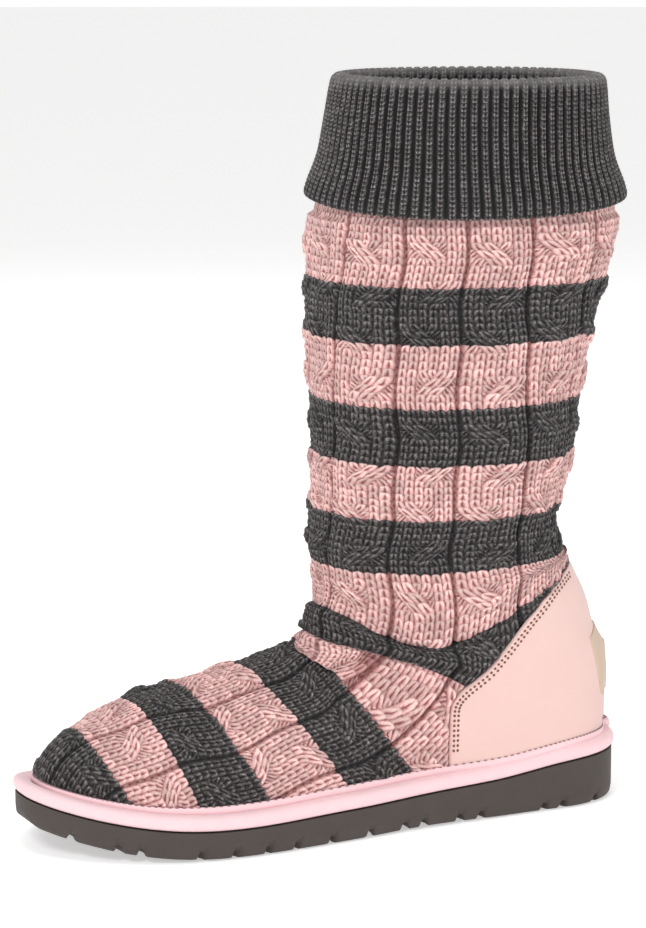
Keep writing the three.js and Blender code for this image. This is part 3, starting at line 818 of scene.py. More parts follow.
def napped_material(name, base):
    """Suede, felt, leather or foam, which differ by the size and depth of their grain."""
    *grain, roughness, sheen = FINISHES[name]
    made, t, shader = soft_material(name, sheen, 0.4)
    group = t.node("ShaderNodeGroup", node_tree=nap_group())
    for value, socket in zip((rgba(base), *grain), group.inputs):
        socket.default_value = value
    t.feed(group.outputs["Colour"], shader.inputs["Base Color"])
    t.feed(group.outputs["Normal"], shader.inputs["Normal"])
    rough = t.times_plus(group.outputs["Grain"], 0.3, roughness - 0.15)
    t.feed(rough, shader.inputs["Roughness"])
    return made


# Building blocks for meshes


def to_frame(points):
    """From stations along the boot to the frame, whose origin lies under the heel."""
    return points - np.array([HEEL_CENTRE, 0.0, 0.0])


def shape_grid(points, maps=None, depth=None, drop=None, flip=False):
    """A grid laid over points in rows and columns.

    Each UV map is an array over the grid's points, or gives the two numbers at the four corners of
    each face. Faces whose corners are all to be dropped are left out.
    """
    rows, columns = points.shape[:2]
    bm = bmesh.new()
    bmesh.ops.create_grid(bm, x_segments=columns - 1, y_segments=rows - 1, size=1.0)
    mesh = bpy.data.meshes.new("grid")
    bm.to_mesh(mesh)
    bm.free()
    flat = np.empty(len(mesh.vertices) * 3)
    mesh.vertices.foreach_get("co", flat)
    flat = flat.reshape(-1, 3)
    column = np.rint((flat[:, 0] + 1) / 2 * (columns - 1)).astype(int)
    row = np.rint((flat[:, 1] + 1) / 2 * (rows - 1)).astype(int)
    mesh.vertices.foreach_set("co", to_frame(points)[row, column].ravel())
    corner = np.empty(len(mesh.loops), int)
    mesh.loops.foreach_get("vertex_index", corner)
    corner = corner.reshape(-1, 4)
    for name, uv in (maps or {}).items():
        if uv.ndim == 5:
            first_row = row[corner].min(axis=1)[:, None]
            first_column = column[corner].min(axis=1)[:, None]
            down = row[corner] - first_row
            over = column[corner] - first_column
            at_corners = uv[first_row, first_column, down, over]
        else:
            at_corners = uv[row[corner], column[corner]]
        mesh.uv_layers.new(name=name).data.foreach_set("uv", at_corners.ravel())
    if depth is not None:
        mesh.attributes.new("depth", "FLOAT", "POINT").data.foreach_set("value", depth[row, column].ravel())
    bm = bmesh.new()
    bm.from_mesh(mesh)
    bpy.data.meshes.remove(mesh)
    if drop is not None:
        unwanted = drop[row, column]
        gone = [f for f in bm.faces if all(unwanted[v.index] for v in f.verts)]
        bmesh.ops.delete(bm, geom=gone, context="FACES")
    if flip:
        bmesh.ops.reverse_faces(bm, faces=bm.faces)
    return bm


def link(name, data):
    made = bpy.data.objects.new(name, data)
    bpy.context.scene.collection.objects.link(made)
    return made


def finish_piece(bm, name, material, replaced=(), merge=0.0):
    """Turns a bmesh into a piece of the boot that rides on its body."""
    if merge:
        bmesh.ops.remove_doubles(bm, verts=bm.verts, dist=merge)
        bmesh.ops.dissolve_degenerate(bm, edges=bm.edges, dist=merge)
    for face in bm.faces:
        face.smooth = True
    mesh = bpy.data.meshes.new(name)
    bm.to_mesh(mesh)
    bm.free()
    mesh.materials.append(material)
    piece = link(name, mesh)
    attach(piece, "root")
    if replaced:
        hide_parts(*replaced)
    return piece


# Knitted tube of shaft and foot


def groove_shares(stripes):
    """Where the grooves between panels lie, a row for each stripe number, seam to seam."""
    shares = [read(GROOVES, "stripe", key, stripes) for key in list(GROOVES)[1:]]
    first, last = shares[0], shares[-1]
    rest = PANELS - len(shares) + 1
    for k in range(1, rest):
        shares.append(last + (first + 1 - last) * k / rest)
    shares = np.stack(shares, -1)
    return np.concatenate([shares[:, SEAM_PANEL:] - 1, shares[:, : SEAM_PANEL + 1]], axis=1)


def panel_columns():
    """Panel number and place within the panel of each column of the knit."""
    groove = np.linspace(0, GROOVE_SHARE, GROOVE_COLUMNS // 2 + 1)[:-1]
    stitches = np.linspace(GROOVE_SHARE, 1 - GROOVE_SHARE, STITCHES_PER_PANEL * COLUMNS_PER_STITCH + 1)
    within = np.concatenate([groove, stitches, 1 - groove[:0:-1]])
    panels = np.repeat(np.arange(PANELS), len(within))
    return np.append(panels, PANELS - 1), np.append(np.tile(within, PANELS), 1.0)


def crossing_phase(course, panels):
    return course - CROSSING_START + 0.7 * ((panels % 2) - 0.5)


def plait(place, course, panels, crossing=None):
    """The strand on top at each place of a panel, and what its stitches follow.

    Gives the part of the panel (0 plain, 1 upper strand, 2 lower strand), the stitch counted along
    the strand, how far the crossing has come (0 to 1 to 0), and the place across the upper strand.
    """
    stitch = np.clip((place - GROOVE_SHARE) / (1 - 2 * GROOVE_SHARE), 0, 1) * STITCHES_PER_PANEL
    phase = crossing_phase(course, panels)
    if crossing is None:
        crossing = np.floor(phase / CROSSING_ROWS)
    within = (phase - CROSSING_ROWS * crossing) / CROSSING_LENGTH
    active = within < 1
    life = np.sin(np.pi * np.clip(within, 0, 1))
    travel = soft_step(within) * STRAND
    leftward = crossing % 2 == 1
    upper_middle = np.where(leftward, 5 - travel, 1 + travel)
    upper_start = np.where(leftward, 5.0, 1.0)
    lower_middle = np.where(leftward, 3 + travel, 3 - travel)
    across = (stitch - upper_middle) / (1.02 + 0.28 * life)
    zone = np.where(leftward, STRAND, 0)
    in_zone = active & (stitch > zone) & (stitch < zone + 2 * STRAND)
    upper = in_zone & (np.abs(across) < 1)
    part = np.where(upper, 1, np.where(in_zone, 2, 0))
    follow = [stitch, upper_start + np.clip(across, -1.4, 1.4), 3 + stitch - lower_middle]
    return part, follow, life * active, across, stitch


def groove_weight(place):
    """1 in the purl groove at a panel's edge, 0 away from it."""
    return soft_step(1 - np.minimum(place, 1 - place) / (GROOVE_SHARE * 1.4))


def cable_relief(sizes, place, course, panels):
    """Height of a cable panel without its stitches."""
    part, follow, life, across, stitch = plait(place, course, panels)
    strand = np.abs(np.sin(np.pi * stitch / STRAND)) ** 0.7
    round_over = np.sqrt(np.maximum(1 - across**2, 0))
    plain = sizes.strand_relief * strand
    crossing = sizes.crossing_relief * round_over**0.8 * life
    upper = plain * (1 - life) + (sizes.strand_relief * round_over + crossing)
    near = np.exp(-np.maximum(np.abs(across) - 1, 0) / 0.35)
    sunk = 0.5 * sizes.crossing_relief * life * near
    lower = plain * (1 - life) - sunk + 0.5 * sizes.strand_relief * life
    height = np.choose(part, [plain, upper, lower])
    bulge = 1 - np.abs(2 * place - 1) ** 3
    in_groove = groove_weight(place)
    rungs = RUNG_RELIEF * np.abs(np.cos(np.pi * course))
    height = (height + sizes.panel_relief * bulge) * (1 - in_groove)
    return height - (sizes.groove_depth - rungs) * in_groove


def wales(place, course, panels, crossing=None):
    """Wale numbers at places of a panel, for each of the plait's three parts."""
    follow = plait(place, course, panels, crossing)[1]
    edge = np.clip(place / GROOVE_SHARE, 0, 1)
    far_edge = np.clip((1 - place) / GROOVE_SHARE, 0, 1)
    numbers = []
    for stitch in follow:
        inner = np.where(1 - place < GROOVE_SHARE, WALES_PER_PANEL - far_edge, 1 + stitch)
        numbers.append(WALES_PER_PANEL * panels + np.where(place < GROOVE_SHARE, edge, inner))
    return np.stack(numbers)


def row_pitch(points, stripes):
    """Height of a stripe at each point of the tube."""
    return np.linalg.norm(np.gradient(points, axis=0), axis=-1) / np.gradient(stripes)[:, None]


def stretched_courses(stripes, points, panels):
    """Course numbers and courses per stripe, with more of both in a panel where it is stretched."""
    pitch = row_pitch(points, stripes) / COURSES_PER_STRIPE
    numbers = np.empty((len(stripes), PANELS))
    rates = np.empty_like(numbers)
    for panel in range(PANELS):
        stretch = np.median(pitch[:, panels == panel], axis=1) / COURSE_HEIGHT
        extra = np.maximum(stretch - 1.15, 0) * COURSES_PER_STRIPE * (stripes[0] == WEDGE_START)
        gained = running_sum((extra[1:] + extra[:-1]) / 2 * np.diff(stripes))
        scale = np.round(gained[-1]) / max(gained[-1], 1e-9)
        numbers[:, panel] = stripes * COURSES_PER_STRIPE + (gained - gained[-1]) * scale
        rates[:, panel] = COURSES_PER_STRIPE + extra * scale
    return numbers, rates


def front_weight(arc, reach, fade):
    return soft_step((reach - np.abs(arc)) / fade)


def gathered(stripe, arc):
    """Stripe number at which a row lies once the slack at the ankle is pushed into its folds."""
    slack = front_weight(arc, SLACK_REACH, 0.05)
    for middle, pull in SLACK:
        u = (stripe - middle) / 0.5
        inside = np.abs(u) <= 1
        moved = middle + 0.5 * np.clip(u * (1 + pull * slack), -1, 1)
        stripe = np.where(inside, moved, stripe)
    return stripe


def ankle_roll(stripe, arc):
    """The tube into which the grey stripe folds round the front of the ankle."""
    u = np.clip((stripe - ROLL_STRIPE) / 0.5, -1, 1)
    return ROLL_HEIGHT * np.sqrt(1 - u**2) * front_weight(arc - 0.005, ROLL_REACH, 0.035)


def ankle_folds(stripe, arc):
    height = 0 * stripe * arc
    for centre, spread, rise, start, stop, fade in zip(*FOLDS.values()):
        cover = soft_step((arc - start) / fade) * soft_step((stop - arc) / fade)
        height = height + rise * cover * np.exp(-(((stripe - centre) / spread) ** 2))
    return height


def tube(stripes):
    """Points, arcs from the front line and hidden places of the knitted tube's plain surface."""
    angles = np.linspace(0, 2 * np.pi, 361)
    curve = fan_sections(stripes, angles, 0.0, CLEARANCE)
    lengths = arc_lengths(curve)
    total = lengths[:, -1]
    on_floor = curve[..., 2] < sole_top(curve[..., 0]) + CLEARANCE + 0.00015
    has_floor = on_floor.any(axis=1)
    first_floor = np.where(has_floor, on_floor.argmax(axis=1), 0)
    last_floor = np.where(has_floor, on_floor.shape[1] - 1 - on_floor[:, ::-1].argmax(axis=1), 0)
    index = np.arange(len(stripes))
    left_end = np.where(has_floor, lengths[index, first_floor], np.inf)[:, None]
    right_end = np.where(has_floor, total - lengths[index, last_floor], np.inf)[:, None]
    foot_scale = PANELS * PANEL_WIDTH
    scale = total + (foot_scale - total) * soft_step((stripes - WEDGE_START) / 1.3)
    panels, place = panel_columns()
    grooves = groove_shares(stripes)
    share = grooves[:, panels] + (grooves[:, panels + 1] - grooves[:, panels]) * place
    course = stripes[:, None] * COURSES_PER_STRIPE
    sway = np.sin(np.pi * (course - CROSSING_START) / CROSSING_ROWS) * PANEL_SWAY
    arc = share * scale[:, None] + sway
    held = np.minimum(np.maximum(arc, -right_end), left_end)
    along = np.where(held < 0, held + total[:, None], held)
    hidden = (arc > left_end + FLOOR_OVERLAP) | (arc < -right_end - FLOOR_OVERLAP)
    return along_rows(curve, lengths, along), arc, hidden


def covered_by_counter(points):
    """1 where the knit lies under the counter, 0 where it is free."""
    x, y, z = coordinates(points)
    edge = counter_reach(z)
    return soft_step((edge + 0.0012 - x) / 0.002) * soft_step((COUNTER_HEIGHT + 0.001 - z) / 0.002)


def knit_maps(stripes, panels, place, numbers, rates):
    """UV maps of the knit and its stripes, at the four corners of each face.

    Each face takes its wale numbers from the part of the plait under its middle.
    """
    rows, columns = place.shape
    index = np.arange(rows)[:, None]
    centre = lambda values: (values[:-1, :-1] + values[1:, 1:]) / 2
    same_panel = np.where(place[:-1, 1:] > place[:-1, :-1], centre(place), 0.999)
    middle = centre(numbers[index, panels])
    face_panels = panels[:-1, :-1]
    crossing = np.floor(crossing_phase(middle, face_panels) / CROSSING_ROWS)
    part = plait(same_panel, middle, face_panels, crossing)[0]
    knit = np.empty((rows - 1, columns - 1, 2, 2, 2))
    striping = np.empty_like(knit)
    for down in range(2):
        own = index[down : rows - 1 + down]
        course = numbers[own, face_panels]
        for over in range(2):
            window = (slice(down, rows - 1 + down), slice(over, columns - 1 + over))
            counted = wales(place[window], course, panels[window], crossing)
            knit[:, :, down, over, 0] = np.choose(part, counted)
            knit[:, :, down, over, 1] = course
            striping[:, :, down, over, 0] = stripes[own]
            striping[:, :, down, over, 1] = rates[own, face_panels]
    return {"knit": knit, "stripes": striping}


def knit_sheet(first, last):
    """Points, UV maps, depth and hidden places of the dressed knit between two stripe numbers."""
    sizes = bpy.context.scene.knit_sizes
    density = WEDGE_DENSITY if first == WEDGE_START else 1.0
    rows = int(round((last - first) * COURSES_PER_STRIPE * ROWS_PER_COURSE * density)) + 1
    stripes = np.linspace(first, last, rows)
    stripe = stripes[:, None]
    plain, arc, hidden = tube(stripes)
    lies_at = gathered(stripe, arc)
    at = np.clip((lies_at - first) / (last - first), 0, 1) * (rows - 1)
    low = np.minimum(at.astype(int), rows - 2)
    column = np.arange(plain.shape[1])[None, :]
    share = (at - low)[..., None]
    points = plain[low, column] * (1 - share) + plain[low + 1, column] * share
    panels, place = panel_columns()
    numbers, rates = stretched_courses(stripes, plain, panels)
    course, rate = numbers[:, panels], rates[:, panels]
    panels = panels[None, :] + 0 * low
    place = place[None, :] + 0 * arc
    part = plait(place, course, panels)[0]
    height = cable_relief(sizes, place, course, panels)
    wale = np.choose(part, wales(place, course, panels))
    loose = np.clip(row_pitch(points, stripes) / rate / COURSE_HEIGHT, 0, 1)
    stitches = stitch_heights(wale, course) * (1 - groove_weight(place))
    height = height + sizes.stitch_relief * stitches
    height = (height - sizes.knit_sink) * np.maximum(loose, 0.25)
    height = height * (1 - FOOT_RELIEF_LOSS * soft_step(stripe - 8.5))
    # The depth paints shade where the knit lies below its outermost points
    depth = np.clip(-height / (sizes.knit_sink + sizes.groove_depth), 0, 1)
    height = height + UNEVEN_HEIGHT * unevenness(arc, stripe * UNEVEN_STRIPE, UNEVEN_SIZE)
    folds = ankle_folds(stripe, arc)
    under_cuff = soft_step((0.02 - stripe) / 0.1) + 0 * arc
    covered = np.maximum.reduce([covered_by_counter(points), near_sole(points), under_cuff])
    height = height * (1 - covered) - COVERED_SINK * covered
    toe_end = soft_step((LAST_STRIPE - stripe) / 0.25)
    points = points + field_normals(points) * (height * toe_end)[..., None]
    lifted = (folds + ankle_roll(lies_at, arc)) * (1 - covered)
    points = points + fold_directions(stripes) * lifted[..., None]
    # Painted shade in the creases of the folds is added to the depth
    depth = np.clip(depth + np.clip(-folds / 0.005, 0, 1), 0, 1)
    return points, knit_maps(stripes, panels, place, numbers, rates), depth, hidden


def near_sole(points):
    """1 where the knit lies behind the band, 0 above it."""
    x, y, z = coordinates(points)
    return soft_step((sole_top(x) + WELT_HEIGHT + 0.003 - z) / 0.003)


def fold_directions(stripes):
    """Which way the folds stand out: as the form does in the middle of each fold."""
    normals = field_normals(tube(np.array([ROLL_STRIPE, FOLD_STRIPE]))[0])
    normals[0, :, 2] *= 0.35
    normals[1, :, 2] = -0.3 * np.abs(normals[1, :, 0])
    share = soft_step((stripes - 8.0) / 0.4)[:, None, None]
    return unit(normals[:1] * (1 - share) + normals[1:] * share)


class BOOT_OT_knit(bpy.types.Operator):
    """Knits the striped cable tube of shaft and foot"""

    bl_idname = "boot.knit"
    bl_label = "Knitted upper"

    def execute(self, context):
        material = yarn_material("striped cable knit", striped=True)
        for name, first, last in KNIT_LENGTHS:
            points, maps, depth, hidden = knit_sheet(first, last)
            bm = shape_grid(points, maps, depth, hidden, flip=True)
            finish_piece(bm, name, material, ("upper",))
        return {"FINISHED"}


class BOOT_OT_lining(bpy.types.Operator):
    """Adds the plain reverse side of the knit, inside the boot"""

    bl_idname = "boot.lining"
    bl_label = "Inner side"

    def execute(self, context):
        shaft = np.linspace(-0.95, WEDGE_START, 66)
        foot = np.linspace(WEDGE_START + 0.05, LAST_STRIPE, 60)
        stripes = np.concatenate([shaft, foot])
        angles = np.linspace(0, 2 * np.pi, 97)
        points = fan_sections(stripes, angles, -KNIT_WALL - 0.0006, -CLEARANCE)
        wale = np.linspace(0, WALES_PER_PANEL * PANELS, len(angles))[None, :] + 0 * stripes[:, None]
        course = (stripes * COURSES_PER_STRIPE)[:, None] + 0 * wale
        rate = COURSES_PER_STRIPE + 0 * wale
        maps = {"knit": np.stack([wale, course], -1), "stripes": np.stack([course / rate, rate], -1)}
        # A depth of 0.3 all over paints the inner side with some shade
        bm = shape_grid(points, maps, 0.3 + 0 * wale)
        material = yarn_material("striped cable knit", striped=True)
        finish_piece(bm, "inner_knit", material, ("upper",), merge=1e-6)
        return {"FINISHED"}


# Ribbed cuff

CUFF_ROW = 0.0017
COLUMNS_PER_RIB = 6
ROWS_PER_CUFF_COURSE = 3
RIB_EDGE = 0.34
CUFF_SNUG = 0.0013
CUFF_STITCH_RELIEF = 0.0005
CUFF_LIP = 0.0017
CUFF_RIM = 0.0045


def cuff_path():
    """Profile of the cuff from inside its hem, up, over the rim and down inside the leg.

    Gives the distance from the leg, the height, and how much of the hem's dip each point takes.
    """
    lip = CUFF_LIP
    snug = CUFF_THICKNESS - CUFF_SNUG
    roll = (KNIT_WALL + snug) / 2
    bulge = (snug - KNIT_WALL) / 2
    rim = BOOT_HEIGHT - roll
    hem = BOOT_HEIGHT - CUFF_DROP
    turn = np.linspace(-np.pi, 0, 9)[:-1]
    rise = np.linspace(0, 1, 60)
    over = np.linspace(0, np.pi, 14)[1:]
    fall = np.linspace(0, 1, 40)[1:]
    offsets = [
        CUFF_THICKNESS - lip + lip * np.cos(turn),
        CUFF_THICKNESS - CUFF_SNUG * soft_step(rise / 0.4),
        bulge + roll * np.cos(over),
        np.full(39, -KNIT_WALL),
    ]
    heights = [
        hem + lip + lip * np.sin(turn),
        hem + lip + (rim - hem - lip) * rise,
        rim + roll * np.sin(over),
        rim - (rim - (BOOT_HEIGHT - CUFF_SEAM_DROP)) * fall,
    ]
    dips = [np.ones(8), 1 - rise, np.zeros(13), np.zeros(39)]
    return np.concatenate(offsets), np.concatenate(heights), np.concatenate(dips)


def cuff_sheet(sizes):
    """Points, UV map and depth of the ribbed cuff; the depth paints shade and a rim highlight."""
    offsets, heights, dips = cuff_path()
    along = running_sum(np.hypot(np.diff(offsets), np.diff(heights)))
    rows = int(along[-1] / CUFF_ROW * ROWS_PER_CUFF_COURSE)
    courses = np.linspace(0, along[-1] / CUFF_ROW, rows)
    place = courses * CUFF_ROW
    offset, height, lowered = (np.interp(place, along, v)[:, None] for v in (offsets, heights, dips))
    share = np.linspace(0, 1, sizes.ribs * COLUMNS_PER_RIB + 1)[None, :]
    angle = 2 * np.pi * share + 0 * height
    hanging = np.maximum(np.cos(angle - CUFF_HEM_LOWEST), 0)
    level = height - CUFF_HEM_DIP * hanging * lowered
    down = np.clip((BOOT_HEIGHT - height) / CUFF_DROP, 0, 1) * (offset > 0)
    sway = 0.05 * np.sin(2 * angle + 0.4) + 0.014 * np.sin(5 * angle + 0.8)
    slack = 0.0006 * np.sin(3 * angle + 0.7) + 0.0005 * np.sin(5 * angle + 40 * height)
    points = leg_ring(angle + sway * down, level, offset + slack * down)
    aside = np.gradient(points, axis=1)
    aside[:, 0] = aside[:, -1] = (points[:, 1] - points[:, -2]) / 2
    normals = unit(np.cross(aside, np.gradient(points, axis=0)))
    rib_number = sizes.ribs * share + 0 * height
    course = courses[:, None] + 0 * rib_number
    from_middle = rib_number - np.floor(rib_number) - 0.5
    across = np.abs(from_middle)
    rib = soft_step((0.5 - across) / (0.5 - RIB_EDGE + 0.14))
    counted = np.clip(0.5 + from_middle * 0.5 / RIB_EDGE, 0, 0.999)
    stitch = stitch_heights(counted, course) * (across < RIB_EDGE)
    rim = np.exp(-(((height - BOOT_HEIGHT) / CUFF_RIM) ** 2))
    inside = 1 - 0.6 * soft_step(-offset / KNIT_WALL)
    hem = 0.75 * np.exp(-(((place[:, None] - 0.004) / 0.005) ** 2))
    raised = sizes.rib_relief * (rib - 0.75) * (1 - 0.8 * rim) * (1 - hem) * inside
    raised = raised + CUFF_STITCH_RELIEF * stitch
    # Painted shade in the valleys between the ribs, and a painted highlight on the rim as depth below zero
    depth = (1 - rib) * (1 - rim) - rim
    maps = {"knit": np.stack([rib_number, course], -1)}
    return points + normals * raised[..., None], maps, depth


class BOOT_OT_cuff(bpy.types.Operator):
    """Makes the ribbed cuff, folded down over the top of the shaft"""

    bl_idname = "boot.cuff"
    bl_label = "Ribbed cuff"

    def execute(self, context):
        bm = shape_grid(*cuff_sheet(context.scene.knit_sizes))
        material = yarn_material("charcoal rib knit", striped=False)
        finish_piece(bm, "cuff_knit", material, ("cuff",), merge=1e-6)
        return {"FINISHED"}


# Foamed sole

# How far in the tread is wider, and how much deeper it is there
TREAD_SIDE = 0.009
TREAD_SIDE_DEPTH = 0.0016


def end_shares(count):
    """Shares of the outline's length, closer together at heel and toe."""
    t = np.linspace(0, 1, count)
    return t - 0.97 * np.sin(2 * np.pi * t) / (2 * np.pi)


def outline_points(shares, inset, side):
    x = inset + shares * (SOLE_LENGTH - 2 * inset)
    return x, sole_middle(x) + side * outline_half(shares, inset)


def tread_profile(x, y, near_side):
    """How deep the tread is cut at a place under the sole, from 0 to 1, wider at its sides."""
    wave = TREAD_WAVE * 0.5 * (1 - np.cos(2 * np.pi * (y / (BALL_WIDTH * 0.2) + 0.5)))
    half = TREAD_GROOVE_WIDTH / 2 * (1 + 0.7 * near_side)
    cut = np.zeros(np.broadcast(x, y).shape)
    for share in TREAD_GROOVES:
        off = np.abs(x - share * SOLE_LENGTH - wave) / half
        cut = np.maximum(cut, soft_step((1.4 - off) / 0.9))
    return cut


def sole_sheet():
    """Points of the foamed sole: a row for each station, a column for each place round it."""
    shares = np.unique(np.concatenate([end_shares(260), np.linspace(0.02, 0.98, 460)]))
    x = (shares * SOLE_LENGTH)[:, None]
    half = outline_half(shares)[:, None]
    # One turn round the section: across the top, down one side, across the bottom, up the other
    across = np.linspace(-0.98, 0.98, 9)
    wall = np.linspace(0, 1, 12)[1:-1]
    under = np.linspace(1, -1, 41)[1:-1]
    y_share = np.concatenate([across, np.ones(12), under, -np.ones(12), [across[0]]])[None, :]
    level = np.concatenate([np.ones(10), 1 - wall, np.zeros(41), wall, np.ones(2)])[None, :]
    inward = np.minimum(half * (1 - np.abs(y_share)), np.minimum(x, SOLE_LENGTH - x))
    low = sole_underside(x) + 0 * y_share
    top = sole_top(x) + 0 * y_share
    rounding = np.clip(1 - inward / SOLE_EDGE_ROUND, 0, 1)
    lifted = SOLE_EDGE_ROUND * (1 - np.sqrt(np.maximum(1 - rounding**2, 0)))
    near_side = soft_step(1 - inward / TREAD_SIDE)
    cut = tread_profile(x, sole_middle(x) + y_share * half, near_side)
    bottom = low + np.maximum(lifted, cut * TREAD_DEPTH) + TREAD_SIDE_DEPTH * cut * near_side
    bottom = np.minimum(bottom, top - 0.002)
    z = bottom + (top - bottom) * level
    notch = cut * np.clip(1 - (z - low) / (TREAD_DEPTH * 2.4), 0, 1)
    pinch = 1 - 0.03 * notch * (np.abs(y_share) > 0.99)
    return spots(x, sole_middle(x) + y_share * half * pinch, z)


class BOOT_OT_outsole(bpy.types.Operator):
    """Makes the foamed sole with its rounded edge and cross grooves"""

    bl_idname = "boot.outsole"
    bl_label = "Foamed sole"

    def execute(self, context):
        foam = napped_material("foam", context.scene.boot_colours.sole_foam)
        bm = shape_grid(sole_sheet(), flip=True)
        piece = finish_piece(bm, "outsole_foam", foam, ("outsole",), merge=2e-6)
        sharpen(piece, 40)
        return {"FINISHED"}


def sharpen(piece, degrees):
    """Keeps edges crisp that turn more than an angle."""
    bm = bmesh.new()
    bm.from_mesh(piece.data)
    limit = math.radians(degrees)
    for edge in bm.edges:
        if len(edge.link_faces) == 2 and edge.calc_face_angle(0.0) > limit:
            edge.smooth = False
    bm.to_mesh(piece.data)
    bm.free()


# Suede band round the sole

BAND_SQUARENESS = 2 / 2.4
BAND_POINTS = 230

# Flange above the band's roll: heights over the sole and distances from the upper
FLANGE = (
    (0.0058, -0.0012),
    (0.0090, -0.0012),
    (0.0095, 0.0006),
    (0.0094, 0.0014),
    (0.0090, 0.0019),
    (0.0080, 0.0022),
    (0.0058, 0.0024),
    (0.0058, -0.0012),
)


def band_loop(count, profile):
    """A closed band: a profile of insets and lifts carried round the outline."""
    shares = end_shares(count)
    rings = []
    for inset, lift in profile:
        sides = []
        for side, along in ((1, shares), (-1, shares[::-1])):
            x, y = outline_points(along, inset, side)
            sides.append(spots(x, y, sole_top(x) + lift))
        rings.append(np.concatenate([sides[0], sides[1][1:]]))
    return np.stack(rings)


def flange_ring(count, lift, distance):
    """A ring round the boot's foot, at a height over the sole and a distance from the upper."""
    edge = band_loop(count, [(WELT_WIDTH, 0.0)])[0]
    pivot = np.clip(edge[:, 0], 0.035, SOLE_LENGTH - 0.05)
    centre = np.stack([pivot, sole_middle(pivot)], -1)
    ahead = unit(edge[:, :2] - centre)
    lower = 1 - 0.4 * soft_step((edge[:, 0] / SOLE_LENGTH - 0.72) / 0.2)
    lifted = WELT_HEIGHT + (lift - WELT_HEIGHT) * (lower if lift > WELT_HEIGHT else 1)

    def position(reach):
        flat = centre + ahead * reach[:, None]
        return np.column_stack([flat, sole_top(flat[:, 0]) + lifted])

    return bisect(position, beyond(upper_field, distance), (len(edge),), reach=0.1)


def round_profile(half_width, half_height):
    """The band's section, a little squarer than an ellipse, as insets and lifts."""
    turn = np.linspace(0, 2 * np.pi, 29)
    turned = np.stack([np.cos(turn), np.sin(turn)])
    across, upward = np.sign(turned) * np.abs(turned) ** BAND_SQUARENESS
    insets = WELT_WIDTH - half_width - half_width * across
    return zip(insets, CLEARANCE + half_height * (1 + upward))


class BOOT_OT_welt(bpy.types.Operator):
    """Makes the suede band round the sole, with its sewn lip"""

    bl_idname = "boot.welt"
    bl_label = "Suede band"

    def execute(self, context):
        suede = napped_material("band suede", context.scene.boot_colours.band_suede)
        roll = round_profile((WELT_WIDTH + WELT_OVERHANG) / 2, (WELT_HEIGHT - CLEARANCE) / 2)
        flange = np.stack([flange_ring(BAND_POINTS, lift, distance) for lift, distance in FLANGE])
        pieces = {"suede_band": band_loop(BAND_POINTS, roll), "band_flange": flange}
        for name, points in pieces.items():
            finish_piece(shape_grid(points), name, suede, ("welt",), merge=2e-6)
        return {"FINISHED"}


class BOOT_OT_insole(bpy.types.Operator):
    """Gives the inner sole its felt"""

    bl_idname = "boot.insole"
    bl_label = "Inner sole"

    def execute(self, context):
        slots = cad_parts["insole"].data.materials
        slots.clear()
        slots.append(napped_material("felt", context.scene.boot_colours.felt))
        return {"FINISHED"}


# Heel counter and patch

COUNTER_SINK = 0.0006
COUNTER_ROUND = 0.0016
EDGE_POINTS = 120
HEEL_RAYS = 241
HEEL_SPAN = (0.18 * math.pi, 1.82 * math.pi)
STITCH_ROWS = (0.0017, 0.0035)
PATCH_OUTLINE = table("up width", (0, 0.7), (0.06, 0.82), (0.15, 0.86), (0.86, 1), (0.95, 0.78), (1, 0.5))


def counter_edge(share, inwards=0.0):
    """Station and height on the counter's free edge, from its front foot to its back top."""
    slant = COUNTER_HEIGHT - COUNTER_NOTCH_HEIGHT
    x = COUNTER_EDGE["along"] * COUNTER_LENGTH
    z = COUNTER_NOTCH_HEIGHT + COUNTER_EDGE["slant"] * slant
    length = running_sum(np.hypot(np.diff(x), np.diff(z)))
    fine = np.linspace(0, length[-1], EDGE_POINTS)
    line = np.stack([np.interp(fine, length, x), np.interp(fine, length, z)], -1)
    for _ in range(12):
        line[1:-1] = (line[:-2] + 2 * line[1:-1] + line[2:]) / 4
    ahead = unit(np.gradient(line, axis=0))
    line = line + inwards * np.stack([-ahead[:, 1], ahead[:, 0]], -1)
    at = np.asarray(share) * (EDGE_POINTS - 1)
    return [np.interp(at, np.arange(EDGE_POINTS), part) for part in line.T]


def counter_reach(heights):
    """Station of the counter's free edge at each height."""
    along, height = counter_edge(np.linspace(0, 1, EDGE_POINTS))
    order = np.argsort(height)
    return np.interp(heights, height[order], along[order])


def heel_curve(heights):
    """Half turns round the heel, from the boot's left side to its right, at each height."""
    angles = np.linspace(*HEEL_SPAN, HEEL_RAYS)[None, :]
    middle = COUNTER_LENGTH * 0.6
    start = spots(middle, sole_middle(middle), heights[:, None])
    return cast(start, spots(np.cos(angles), np.sin(angles), 0.0), beyond(upper_field, 0.0))


def heel_sheet(heights, columns, ends_of):
    """A sheet round the heel, a row for each height, between the lengths that ends_of gives."""
    curve = heel_curve(heights)
    lengths = arc_lengths(curve)
    ends = [ends_of(i, curve[i], lengths[i]) for i in range(len(heights))]
    places = np.stack([np.linspace(left, right, columns) for left, right in ends])
    return along_rows(curve, lengths, places)


def cushion(points, thickness, radius, sink):
    """Raises a sheet off the surface that it lies on, with its border rolled down."""
    rows = arc_lengths(points)
    columns = arc_lengths(points.transpose(1, 0, 2)).T
    to_border = np.minimum.reduce([rows, rows[:, -1:] - rows, columns, columns[-1:] - columns])
    fall = np.clip(1 - to_border / radius, 0, 1)
    lift = thickness * np.sqrt(np.maximum(1 - fall**2, 0)) - sink
    return points + sheet_normals(points) * lift[..., None]


